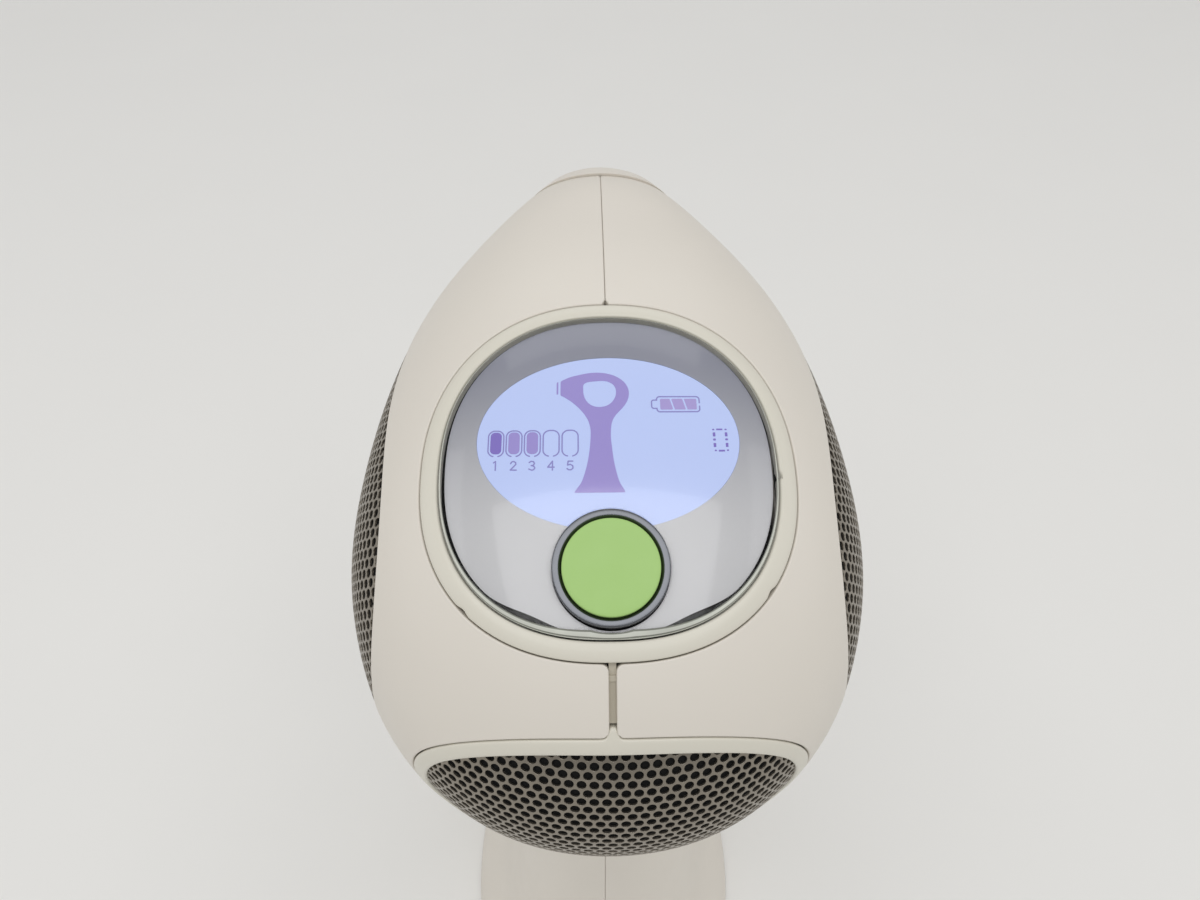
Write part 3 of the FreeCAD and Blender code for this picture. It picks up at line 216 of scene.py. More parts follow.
def section_of(points):
    """Place along the body of a point of the head, the cosine of its turn, and the form's half-width there."""
    reach = np.hypot(points[:, 1] - FAN_Y, points[:, 2] - NECK_Z)
    place = np.degrees(np.arctan2(points[:, 2] - NECK_Z, points[:, 1] - FAN_Y))
    inner, outer = INNER(place), OUTER(place)
    cosine = (reach - (inner + outer) / 2) / ((outer - inner) / 2)
    turn = np.arccos(np.clip(cosine, -1, 1))
    width = HALF_WIDTH(place) / (1 - FULLNESS) * (np.sin(turn) + FULLNESS * np.sin(3 * turn))
    return place, turn, np.where(np.abs(cosine) < 1, width, -1)


def drop(base, axis, low, high):
    """Place and turn where lines along an axis leave the head, by halving the span between a distance inside it and
    one outside.
    """
    near, far = np.full(len(base), float(low)), np.full(len(base), float(high))
    for _ in range(36):
        middle = (near + far) / 2
        points = base + middle[:, None] * axis
        inside = section_of(points)[2] > np.abs(points[:, 0])
        near, far = np.where(inside, middle, near), np.where(inside, far, middle)
    points = base + near[:, None] * axis
    place, turn, _ = section_of(points)
    return place, turn * np.where(points[:, 0] < 0, -1, 1)


class Plan:
    """A flat drawing plane that looks at the head along an axis: its centre, its two directions and the line's
    span.
    """

    def __init__(self, centre, across, along, low, high):
        self.centre, self.across, self.along = (np.array(v, float) for v in (centre, across, along))
        self.axis = np.cross(self.across, self.along)
        self.low, self.high = low, high

    def flat(self, points):
        return np.stack([(points - self.centre) @ self.across, (points - self.centre) @ self.along], -1)

    def laid(self, drawn, depth=0.0, lift=0.0, slant=0.0):
        """Drawn points laid on the skin along the plane's axis, then moved under it by a depth; also the normals.
        With a slant, the plane is first lifted and the points go down it at that angle, so that a drawing still
        reads straight from a slanted view.
        """
        shape = drawn.shape[:-1]
        flat = drawn.reshape(-1, 2)
        base = self.centre + flat[:, :1] * self.across + flat[:, 1:] * self.along + lift * self.axis
        axis = self.axis * math.cos(slant) - self.along * math.sin(slant)
        place, turn = drop(base, axis, self.low, self.high)
        points, normals = skin(place.reshape(shape), turn.reshape(shape), depth)
        return points, normals


def crown(y):
    """Where the centre line of the head stands at a Y."""
    place, turn = drop(np.array([[0, y, NECK_Z]], float), np.array([0, 0, 1.0]), 5, 120)
    return skin(place, turn)[0][0]


WINDOW_HALF_X, WINDOW_HALF_Y, WINDOW_POWER = 22.0, 22.95, 2.3
WINDOW_MIDDLE_Y = -16.15
# The display's plane runs through two points of the centre line, at this share of the window's half-length
CHORD_SHARE = 0.97
front_end = crown(WINDOW_MIDDLE_Y + CHORD_SHARE * WINDOW_HALF_Y)
back_end = crown(WINDOW_MIDDLE_Y - CHORD_SHARE * WINDOW_HALF_Y)
chord = (front_end - back_end) / np.linalg.norm(front_end - back_end)
DISPLAY = Plan((front_end + back_end) / 2, (1, 0, 0), chord, -15, 20)
SIDE = Plan((0, -3, 162), (0, 1, 0), (0, 0, 1), 0.5, 60)
REAR = Plan((0, -20, 163.3), (1, 0, 0), (0, 0, 1), 0, 70)

LCD_SHIFT, LCD_HALF_X, LCD_HALF_Y = 2.0, 17.1, 12.45
SIDE_POINTS = [
    (26.6, 181), (21, 184.6), (8, 186.6), (-4, 187.5), (-14, 187), (-23, 184.2),
    (-30.2, 178.6), (-34, 170), (-33.6, 160.5), (-29.5, 151), (-21.5, 143), (-11, 138.6),
    (0, 137.8), (10, 140), (18, 145.2), (24, 153), (27.2, 163), (27.8, 173),
]
SIDE_OUTLINE = closed_curve(np.array(SIDE_POINTS) - (-3, 162), 240)
REAR_HALF_X, REAR_HALF_Z, REAR_POWER, REAR_RIM = 24.5, 16.0, 2.2, 1.7
REAR_OUTLINE = superellipse(REAR_HALF_X, REAR_HALF_Z, REAR_POWER)
# The slot above the rear grille: its half-width and its ends as places along the body
SLOT_HALF, SLOT_START, SLOT_END = 0.45, 137.5, 144.5
TIP_SEAM_Y = FAN_Y - 10
# What turns a right-hand piece into a left-hand one
FLIP = np.array([-1.0, 1, 1])
# How far under its plane an opening still cuts the skin
CUT_REACH = 30


def outline_distance(points, outline):
    """Signed distance of flat points from a closed outline, negative inside by the even-odd rule, and the direction
    it grows in.
    """
    start, step = outline, np.roll(outline, -1, 0) - outline
    distance, direction = np.empty(len(points)), np.empty((len(points), 2))
    for first in range(0, len(points), 8000):
        block = points[first : first + 8000]
        away = block[:, None] - start
        share = np.clip((away * step).sum(2) / (step**2).sum(1), 0, 1)
        gap = away - share[..., None] * step
        nearest = (gap**2).sum(2).argmin(1)
        gap = gap[np.arange(len(block)), nearest]
        size = np.maximum(np.linalg.norm(gap, axis=1), 1e-9)
        y, low, high = block[:, 1:], start[:, 1], start[:, 1] + step[:, 1]
        with np.errstate(divide="ignore", invalid="ignore"):
            cross = start[:, 0] + (y - low) / step[:, 1] * step[:, 0]
        inside = ((((low > y) != (high > y)) & (block[:, :1] < cross)).sum(1) % 2) == 1
        sign = np.where(inside, -1.0, 1.0)
        distance[first : first + 8000] = sign * size
        direction[first : first + 8000] = (sign / size)[:, None] * gap
    return distance, direction


def distance_on_skin(points, normals, plan, outline, grow):
    """How far surface points lie outside a drawn outline: the flat distance less the growth, over how steeply the
    surface lets it change. Points that face away from the plane, or lie far under it as the flared foot does,
    count as far outside.
    """
    distance, direction = outline_distance(plan.flat(points), outline)
    lean = direction[:, :1] * plan.across + direction[:, 1:] * plan.along
    steep = np.sqrt(np.maximum(1 - (lean * normals).sum(1) ** 2, 0.1))
    seen = (normals @ plan.axis > 0.05) & ((points - plan.centre) @ plan.axis > -CUT_REACH)
    return np.where(seen, (distance - grow) / steep, 50.0)


def rounded_least(fields, round_off):
    """The least of several distances, with the corner between any two rounded off."""
    least = fields[0]
    for field in fields[1:]:
        blend = np.maximum(round_off - np.abs(least - field), 0) / round_off
        least = np.minimum(least, field) - blend**2 * round_off / 4
    return least


# ------------------------------------------------------------------ nets: cutting, rolled edges, loops
def cut_net(spots, triangles, field, snap=0.32):
    """Keeps the part of a net of triangles where a field of its flat coordinates is positive.
    Corners near the zero line first slide onto it along the field's slope; then each triangle the line still
    crosses is split, and the split points are refined by the false-position rule.
    """
    spots = spots.copy()
    value = field(spots)
    if snap:
        near = np.flatnonzero(np.abs(value) < 3)
        moved = spots[near].copy()
        for _ in range(3):
            here = field(moved)
            slope = np.stack(
                [(field(moved + d) - field(moved - d)) / 0.04 for d in (np.array([0.02, 0]), np.array([0, 0.02]))],
                1,
            )
            moved -= here[:, None] * slope / np.maximum((slope**2).sum(1), 1e-9)[:, None]
        close = np.linalg.norm(moved - spots[near], axis=1) < snap
        spots[near[close]] = moved[close]
        value[near[close]] = 0.0
    sign = np.sign(np.where(np.abs(value) < 1e-9, 0, value)).astype(int)
    corner = sign[triangles]
    plus, minus = (corner > 0).sum(1), (corner < 0).sum(1)
    kept = [triangles[(minus == 0) & (plus > 0)]]
    new_spots, count = [spots], len(spots)

    def turned(rows, first):
        k = first[:, None] + np.arange(3)
        return triangles[rows][np.arange(len(rows))[:, None], k % 3]

    crossing = np.flatnonzero((plus > 0) & (minus > 0))
    ends = np.concatenate(
        [triangles[crossing][:, [0, 1]], triangles[crossing][:, [1, 2]], triangles[crossing][:, [2, 0]]]
    )
    ends = np.sort(ends, 1)
    ends = np.unique(ends[sign[ends[:, 0]] * sign[ends[:, 1]] < 0], axis=0)
    low, high = spots[ends[:, 0]], spots[ends[:, 1]]
    at_low, at_high = value[ends[:, 0]], value[ends[:, 1]]
    start, end = np.zeros(len(ends)), np.ones(len(ends))
    for _ in range(6):
        share = np.clip(start + (end - start) * at_low / (at_low - at_high), 0.0, 1.0)
        middle = field(low + share[:, None] * (high - low))
        same = np.sign(middle) == np.sign(at_low)
        start, at_low = np.where(same, share, start), np.where(same, middle, at_low)
        end, at_high = np.where(same, end, share), np.where(same, at_high, middle)
    share = np.clip(start + (end - start) * at_low / np.where(at_low == at_high, 1, at_low - at_high), 0.02, 0.98)
    new_spots.append(low + share[:, None] * (high - low))
    keys = ends[:, 0] * count + ends[:, 1]

    def split(a, b):
        key = np.minimum(a, b) * count + np.maximum(a, b)
        return count + np.searchsorted(keys, key)

    one = np.flatnonzero((plus == 1) & (minus == 2))
    t = turned(one, corner[one].argmax(1))
    kept.append(np.stack([t[:, 0], split(t[:, 0], t[:, 1]), split(t[:, 0], t[:, 2])], 1))
    two = np.flatnonzero((plus == 2) & (minus == 1))
    t = turned(two, corner[two].argmin(1))
    first, second = split(t[:, 0], t[:, 1]), split(t[:, 0], t[:, 2])
    kept += [np.stack([first, t[:, 1], t[:, 2]], 1), np.stack([first, t[:, 2], second], 1)]
    mixed = np.flatnonzero((plus == 1) & (minus == 1))
    t = turned(mixed, corner[mixed].argmax(1))
    minus_next = sign[t[:, 1]] < 0
    other = np.where(minus_next, t[:, 1], t[:, 2])
    third = np.where(minus_next, t[:, 2], t[:, 1])
    cut = split(t[:, 0], other)
    kept.append(
        np.where(minus_next[:, None], np.stack([t[:, 0], cut, third], 1), np.stack([t[:, 0], third, cut], 1))
    )
    spots = np.vstack(new_spots)
    triangles = np.vstack(kept)
    used, index = np.unique(triangles, return_inverse=True)
    return spots[used], index.reshape(triangles.shape)


def grid_triangles(rows, columns):
    """The two triangles of each cell of a grid, facing the side where its row direction turns left to its column
    direction.
    """
    index = np.arange(rows * columns).reshape(rows, columns)
    a, b, c, d = (index[s].ravel() for s in (np.s_[:-1, :-1], np.s_[1:, :-1], np.s_[1:, 1:], np.s_[:-1, 1:]))
    return np.concatenate([np.stack([a, b, c], 1), np.stack([a, c, d], 1)])


def rolled_sheet(points, normals, triangles, roll, thickness, rings=3):
    """Turns an open net into a closed sheet: every free edge rolls over a quarter circle of the given radius, goes
    straight down, and meets a copy of the net one thickness below.
    The roll's way out at a point is its surface normal crossed with its two free edges, lengthened at corners."""
    count = len(points)
    edges = np.concatenate([triangles[:, [0, 1]], triangles[:, [1, 2]], triangles[:, [2, 0]]])
    border = edges[~np.isin(edges[:, 0] * count + edges[:, 1], edges[:, 1] * count + edges[:, 0])]
    way = np.cross(points[border[:, 1]] - points[border[:, 0]], normals[border[:, 0]] + normals[border[:, 1]])
    way /= np.maximum(np.linalg.norm(way, axis=1, keepdims=True), 1e-12)
    total = np.zeros_like(points)
    np.add.at(total, border[:, 0], way)
    np.add.at(total, border[:, 1], way)
    rim, place = np.unique(border, return_inverse=True)
    place = place.reshape(border.shape)
    up = normals[rim]
    out = total[rim] - (total[rim] * up).sum(1, keepdims=True) * up
    size = np.maximum(np.linalg.norm(out, axis=1, keepdims=True), 1e-9)
    corner = np.clip(2 / size, 1, 1.35)
    out /= size
    all_points, all_normals, rows = [points], [normals], [rim]
    total_count = count
    bends = [k / rings * math.pi / 2 for k in range(1, rings + 1)] if roll else []
    for bend in bends:
        all_points.append(points[rim] + out * corner * roll * math.sin(bend) - up * roll * (1 - math.cos(bend)))
        all_normals.append(up * math.cos(bend) + out * math.sin(bend))
        rows.append(total_count + np.arange(len(rim)))
        total_count += len(rim)
    if roll:
        all_points.append(points[rim] + out * corner * roll - up * thickness)
        all_normals.append(out)
        rows.append(total_count + np.arange(len(rim)))
        total_count += len(rim)
    rows.append(total_count + rim)
    all_points.append(points - normals * thickness)
    all_normals.append(-normals)
    faces = [triangles, triangles[:, ::-1] + total_count]
    for upper, lower in zip(rows[:-1], rows[1:]):
        i, j = place[:, 0], place[:, 1]
        faces.append(np.stack([upper[j], upper[i], lower[i]], 1))
        faces.append(np.stack([upper[j], lower[i], lower[j]], 1))
    return np.vstack(all_points), np.vstack(all_normals), np.vstack(faces)


def looped_faces(rows, columns):
    """Quads of a grid that closes on itself both ways."""
    index = np.arange(rows * columns).reshape(rows, columns)
    right, below = np.roll(index, -1, 1), np.roll(index, -1, 0)
    return np.stack([index, right, np.roll(right, -1, 0), below], -1).reshape(-1, 4)


def outward(points, faces):
    """The faces, turned round if they enclose a negative volume, so that they point outwards."""
    a, b, c = points[faces[:, 0]], points[faces[:, 1]], points[faces[:, 2]]
    volume = (a * np.cross(b, c)).sum()
    if faces.shape[1] == 4:
        volume += (a * np.cross(c, points[faces[:, 3]])).sum()
    return faces[:, ::-1] if volume < 0 else faces


# ------------------------------------------------------------------ pieces
def add_piece(
    name, points, faces, finish, body="housing", slot="shell_plastic", instead=(), normals=None, face_finish=None,
    weld=False,
):
    """Makes a mesh piece from points in millimetres, gives it its finish and its smooth normals, and lets it ride
    on a body in place of CAD nodes.
    """
    mesh = bpy.data.meshes.new(name)
    faces = [f.tolist() for f in faces] if isinstance(faces, (list, tuple)) else [faces.tolist()]
    mesh.from_pydata((points * MM).tolist(), [], [row for block in faces for row in block])
    for one in finish if isinstance(finish, (list, tuple)) else [finish]:
        mesh.materials.append(one)
    if face_finish is not None:
        mesh.polygons.foreach_set("material_index", face_finish.astype(np.int32))
    mesh.shade_smooth()
    if normals is None:
        mesh.set_sharp_from_angle(angle=math.radians(38))
    if weld:
        work = bmesh.new()
        work.from_mesh(mesh)
        bmesh.ops.remove_doubles(work, verts=work.verts, dist=2e-7)
        bmesh.ops.recalc_face_normals(work, faces=work.faces)
        work.to_mesh(mesh)
        work.free()
    if mesh.validate():
        raise RuntimeError(f"{name} has a bad mesh")
    if normals is not None:
        mesh.normals_split_custom_set_from_vertices(normals.tolist())
    piece = bpy.data.objects.new(name, mesh)
    bpy.context.scene.collection.objects.link(piece)
    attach(piece, body)
    if instead:
        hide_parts(*instead)
    return piece


def add_pair(name, points, faces, normals, finish, instead, **settings):
    """Makes a right-hand piece and its mirror image; braces in the names stand for the side."""
    for side, flip, order in (("right", 1, 1), ("left", FLIP, -1)):
        add_piece(
            name.format(side), points * flip, faces[:, ::order], finish, normals=normals * flip,
            instead=[instead.format(side)], **settings,
        )


def loop_piece(name, rails, finish, band_finish=None, **settings):
    """A closed ring made of rails, which are closed curves of the same number of points, one after another round
    the ring's section.
    """
    points = np.stack(rails)
    rows, columns = points.shape[:2]
    flat = points.reshape(-1, 3)
    faces = outward(flat, looped_faces(rows, columns))
    marks = None if band_finish is None else np.repeat(np.asarray(band_finish), columns)
    return add_piece(name, flat, faces, finish, face_finish=marks, **settings)


def turned_rails(profile, centre, axis, count=96):
    """Rails turned about an axis from (radius, height) pairs."""
    axis = np.asarray(axis, float)
    side = np.array([1.0, 0, 0])
    other = np.cross(axis, side)
    angle = np.linspace(0, 2 * math.pi, count, endpoint=False)
    ring = np.cos(angle)[:, None] * side + np.sin(angle)[:, None] * other
    return [np.asarray(centre) + radius * ring + height * axis for radius, height in profile]


def arc(middle, radius, first, last, steps=5):
    """Points of a circular arc between two angles in degrees, as (across, up) pairs."""
    angles = np.radians(np.linspace(first, last, steps))
    return [(middle[0] + radius * math.cos(a), middle[1] + radius * math.sin(a)) for a in angles]


# ------------------------------------------------------------------ finishes
def add(tree, kind, inputs=None, **settings):
    """Adds a node, sets its properties, and sets or links its inputs by name or number."""
    node = tree.nodes.new(kind)
    for name, value in settings.items():
        setattr(node, name, value)
    for name, value in (inputs or {}).items():
        socket = node.inputs[name]
        if isinstance(value, bpy.types.NodeSocket):
            tree.links.new(value, socket)
        else:
            socket.default_value = value
    return node


def start_finish(name, base, roughness, **sockets):
    """A new material with only its shader and output, and the object coordinates that its patterns use."""
    finish = bpy.data.materials.new(name)
    finish.use_nodes = True
    tree = finish.node_tree
    tree.nodes.clear()
    shader = add(tree, "ShaderNodeBsdfPrincipled", {"Base Color": (*base, 1), "Roughness": roughness, **sockets})
    add(tree, "ShaderNodeOutputMaterial", {"Surface": shader.outputs[0]})
    place = add(tree, "ShaderNodeTexCoord").outputs["Object"]
    return finish, tree, shader, place


def mottle(tree, shader, place, base, patch, change):
    """Lets the base colour drift by a share either way in soft patches of a size in millimetres."""
    noise = add(tree, "ShaderNodeTexNoise", {"Vector": place, "Scale": 1 / (patch * MM), "Detail": 3.0})
    dark, light = (tuple(min(1, v * (1 + s * change)) for v in base) + (1,) for s in (-1, 1))
    mix = add(tree, "ShaderNodeMix", {"Factor": noise.outputs["Fac"], "A": dark, "B": light}, data_type="RGBA")
    tree.links.new(mix.outputs["Result"], shader.inputs["Base Color"])
    return mix


def grain(tree, shader, place, size, depth, strength=1.0, stretch=None):
    """Raises a fine grain of a size and depth in millimetres."""
    if stretch:
        place = add(tree, "ShaderNodeMapping", {"Vector": place, "Scale": stretch}).outputs[0]
    noise = add(tree, "ShaderNodeTexNoise", {"Vector": place, "Scale": 1 / (size * MM), "Detail": 2.0})
    bump = add(
        tree, "ShaderNodeBump", {"Height": noise.outputs["Fac"], "Distance": depth * MM, "Strength": strength}
    )
    tree.links.new(bump.outputs[0], shader.inputs["Normal"])


def shine_drift(tree, shader, place, patch, low, high):
    """Lets the roughness drift between two values in patches of a size in millimetres."""
    noise = add(tree, "ShaderNodeTexNoise", {"Vector": place, "Scale": 1 / (patch * MM), "Detail": 2.0})
    drift = add(
        tree, "ShaderNodeMapRange",
        {"Value": noise.outputs["Fac"], "From Min": 0.35, "From Max": 0.65, "To Min": low, "To Max": high},
    )
    tree.links.new(drift.outputs["Result"], shader.inputs["Roughness"])


def moulded(name, base, roughness, patch=22.0, change=0.012, size=0.45, depth=0.012, **sockets):
    """Injection-moulded plastic: an even colour that drifts a little with the melt flow, and the fine spark-eroded
    grain of the tool.
    """
    finish, tree, shader, place = start_finish(name, base, roughness, **sockets)
    mottle(tree, shader, place, base, patch, change)
    grain(tree, shader, place, size, depth)
    shine_drift(tree, shader, place, patch / 3, roughness - 0.03, roughness + 0.04)
    return finish


def metal(name, base, roughness, size=0.3, depth=0.004, stretch=None, drift=0.06, change=0.03):
    """Metal: its colour is what it mirrors, with a drift in polish and a shallow rolled, drawn or plated surface.
    """
    finish, tree, shader, place = start_finish(name, base, roughness, Metallic=1.0)
    mottle(tree, shader, place, base, 6.0, change)
    grain(tree, shader, place, size, depth, stretch=stretch)
    shine_drift(tree, shader, place, 3.0, max(roughness - drift, 0.03), roughness + drift)
    return finish


def clear_window():
    """Cast acrylic, polished: it lets nearly everything through, and both faces together mirror about a twenty-
    fifth straight on and more at a slant.
    """
    finish, tree, _, _ = start_finish("Polished_Acrylic", (0.9, 0.9, 0.9), 0.03)
    tree.nodes.clear()
    through = add(tree, "ShaderNodeBsdfTransparent", {"Color": (0.985, 0.985, 0.985, 1)})
    mirror = add(tree, "ShaderNodeBsdfGlossy", {"Color": (1, 1, 1, 1), "Roughness": 0.09})
    slant = add(tree, "ShaderNodeLayerWeight", {"Blend": 0.5})
    steep = add(tree, "ShaderNodeMath", {0: slant.outputs["Facing"], 1: 5.0}, operation="POWER")
    share = add(tree, "ShaderNodeMath", {0: steep.outputs[0], 1: 0.95, 2: 0.02}, operation="MULTIPLY_ADD")
    mix = add(tree, "ShaderNodeMixShader", {"Fac": share.outputs[0], 1: through.outputs[0], 2: mirror.outputs[0]})
    add(tree, "ShaderNodeOutputMaterial", {"Surface": mix.outputs[0]})
    return finish


def window_edge(name, code):
    """The same acrylic seen at its chamfered edge, drawn opaque: the light it gathers and bends is painted into
    glassy grey-green bands, pale as painted reflection and dark as painted shade.
    """
    base = linear(code)
    finish, tree, shader, place = start_finish(name, base, 0.12, **{"IOR": 1.49, "Coat Weight": 0.4})
    mottle(tree, shader, place, base, 5.0, 0.25)
    shine_drift(tree, shader, place, 4.0, 0.06, 0.16)
    return finish


def silver_deck(base):
    """Polycarbonate back-painted silver: a fine even metallic flake under a flat clear face."""
    finish, tree, shader, place = start_finish("Silver_Painted_Panel", base, 0.45, Metallic=0.1)
    flake = add(tree, "ShaderNodeTexVoronoi", {"Vector": place, "Scale": 1 / (0.18 * MM)})
    dark, light = (tuple(v * s for v in base) + (1,) for s in (0.97, 1.03))
    mix = add(tree, "ShaderNodeMix", {"Factor": flake.outputs["Distance"], "A": dark, "B": light}, data_type="RGBA")
    # Painted shade and reflection: the silver is darkened and blued towards the front edge, where the deck
    # lies in shade and mirrors the blue surroundings
    split = add(tree, "ShaderNodeSeparateXYZ", {"Vector": place})
    shade_fade = add(
        tree, "ShaderNodeMapRange", {"Value": split.outputs["Y"], "From Min": -0.028, "From Max": 0.002},
        interpolation_type="SMOOTHSTEP",
    )
    painted_shade_mix = add(
        tree, "ShaderNodeMix",
        {"Factor": shade_fade.outputs["Result"], "A": mix.outputs["Result"], "B": (*linear("#8F919F"), 1)},
        data_type="RGBA",
    )
    tree.links.new(painted_shade_mix.outputs["Result"], shader.inputs["Base Color"])
    shine_drift(tree, shader, place, 8.0, 0.38, 0.46)
    return finish


def lit_display(base, name="Lit_Display_Glass", strength=0.55, share=0.5):
    """A backlit display behind a diffuser: half of its colour is its own light, drifting a little in soft
    patches.
    """
    finish, tree, shader, place = start_finish(name, tuple(v * share for v in base), 0.25)
    shader.inputs["Emission Color"].default_value = (*base, 1)
    shader.inputs["Emission Strength"].default_value = strength
    mottle(tree, shader, place, tuple(v * share for v in base), 9.0, 0.03)
    return finish


def circuit_board():
    """Fibreglass board with green solder mask: copper tracks show as paler bars under the lacquer."""
    green = linear("#1F5A34")
    finish, tree, shader, place = start_finish("Solder_Masked_Board", green, 0.32, **{"Coat Weight": 0.3})
    tracks = add(
        tree, "ShaderNodeTexBrick",
        {
            "Vector": place, "Scale": 1 / (6.0 * MM), "Color1": (*green, 1), "Color2": (*linear("#245F3A"), 1),
            "Mortar": (*linear("#4E8A57"), 1), "Mortar Size": 0.05,
        },
    )
    tree.links.new(tracks.outputs["Color"], shader.inputs["Base Color"])
    grain(tree, shader, place, 0.8, 0.01)
    return finish


def glassy(name, base, roughness, weight, ior=1.5):
    """Glass that passes most light and is tinted by its colour."""
    finish, tree, shader, place = start_finish(name, base, roughness, **{"Transmission Weight": weight, "IOR": ior})
    mottle(tree, shader, place, base, 4.0, 0.03)
    grain(tree, shader, place, 2.0, 0.002)
    return finish


FINISHES = {}


def finish_of(slot):
    """The finish of a record's slot, made when it is first asked for."""
    if slot not in FINISHES:
        FINISHES[slot] = MAKERS[slot]()
    return FINISHES[slot]


def colours():
    return bpy.context.scene.hair_remover_colours


def sizes():
    return bpy.context.scene.hair_remover_sizes


MAKERS = {
    # ABS, spark-eroded mould: satin cream, with a grain just fine enough to break up the highlights
    "shell_plastic": lambda: moulded("Cream_Satin_ABS", colours().shell, 0.42, size=0.5, depth=0.010),
    # ABS, smoother tool: the trim reads a little lighter and shinier than the shells
    "trim": lambda: moulded("Cream_Polished_ABS", colours().trim, 0.33, size=0.7, depth=0.006),
    # ABS strip in the slot, darker than the shells because it lies in their shade
    "seam_plastic": lambda: moulded("Shaded_Seam_ABS", linear("#BDB6A6"), 0.45),
    "window_plastic": clear_window,
    # Painted reflection and painted shade: the clear chamfer drawn as opaque pale and dark bands
    "window_edge": lambda: window_edge("Acrylic_Chamfer_Painted_Reflection", "#D6D8CE"),
    "window_edge_shade": lambda: window_edge("Acrylic_Chamfer_Painted_Shade", "#85877E"),
    "deck_plastic": lambda: silver_deck(tuple(colours().deck)),
    "display_glass": lambda: lit_display(tuple(colours().lit_display)),
    "symbols": lambda: lit_display(tuple(colours().symbols), "Display_Symbols"),
    "dark_symbols": lambda: lit_display(linear("#8070C0"), "Display_Symbols_Dark"),
    "pale_symbols": lambda: lit_display(linear("#A99CD4"), "Display_Symbols_Pale"),
    "symbol_lines": lambda: lit_display(linear("#8C89C6"), "Display_Symbol_Lines"),
    # Acrylic light guide, frosted
    "backlight_plastic": lambda: moulded("Frosted_Light_Guide", linear("#E6EBF2"), 0.5, size=1.0),
    "circuit_board": circuit_board,
    # Silicone-soft painted cap: matt green, with a bloom at a slant
    "button_plastic": lambda: moulded(
        "Green_Soft_Touch", colours().button, 0.5, patch=8.0, change=0.01, size=0.3, depth=0.006
    ),
    # Zinc die casting, dark chrome plated: near mirror, so it shows the room in grey
    "bright_ring": lambda: metal("Satin_Dark_Chrome", linear("#6F7176"), 0.26, size=1.5, depth=0.002, drift=0.03),
    # Glass-filled nylon, black: dull, with fibre grain
    "inner_plastic": lambda: moulded("Black_Filled_Nylon", linear("#121111"), 0.7, size=0.6, depth=0.02),
    # Painted shade: a matt black sheet behind each grille keeps the view through its holes dark
    "painted_shade_sheet": lambda: moulded("Black_Painted_Shade_Sheet", linear("#0B0B0B"), 0.95, size=0.35, depth=0.04),
    # Punched steel sheet, grey-brown coated: part metal, part lacquer
    "grille_metal": lambda: grille_coat(tuple(colours().grille)),
    # Polycarbonate ring, warm grey
    "ring_plastic": lambda: moulded("Warm_Grey_Polycarbonate", linear("#B8B2A6"), 0.28),
    "spring_steel": lambda: metal("Drawn_Spring_Wire", linear("#A9A9AC"), 0.25, size=0.2, stretch=(1, 8, 1)),
    "lamp_glass": lambda: glassy("Borosilicate_Tube", linear("#EEF2F4"), 0.03, 0.9, 1.47),
    "filter_glass": lambda: glassy("Amber_Filter_Glass", linear("#E8B27A"), 0.04, 0.6, 1.52),
    "reflector_metal": lambda: metal("Bright_Anodised_Reflector", linear("#D9DADC"), 0.1, size=1.0),
    "heat_sink_metal": lambda: metal(
        "Extruded_Aluminium", linear("#B5B7BA"), 0.35, size=0.4, depth=0.01, stretch=(6, 6, 1)
    ),
    "can_metal": lambda: metal("Sleeved_Can", linear("#7D8894"), 0.35, size=0.8),
    "contact_metal": lambda: metal("Gold_Flash_Contact", linear("#C9A45A"), 0.22, size=0.4),
    "screw_steel": lambda: metal("Zinc_Plated_Steel", linear("#A6A8A8"), 0.3, size=0.3),
    # ABS, coarser texture on the underside
    "base_plastic": lambda: moulded("Cream_Textured_ABS", linear("#C9C3B6"), 0.55, size=0.7, depth=0.03),
    # Silicone rubber sheet, warm grey, matt
    "foot_rubber": lambda: moulded("Grey_Silicone_Rubber", linear("#8F8A83"), 0.75, size=0.9, depth=0.03),
}


def grille_coat(base):
    """Punched steel with a thin coat: half mirror, half lacquer, its colour drifting a little where the coat is
    thinner.
    """
    finish, tree, shader, place = start_finish("Coated_Punched_Steel", base, 0.30, Metallic=0.9)
    mottle(tree, shader, place, base, 3.0, 0.06)
    grain(tree, shader, place, 0.25, 0.004)
    shine_drift(tree, shader, place, 2.0, 0.26, 0.36)
    return finish


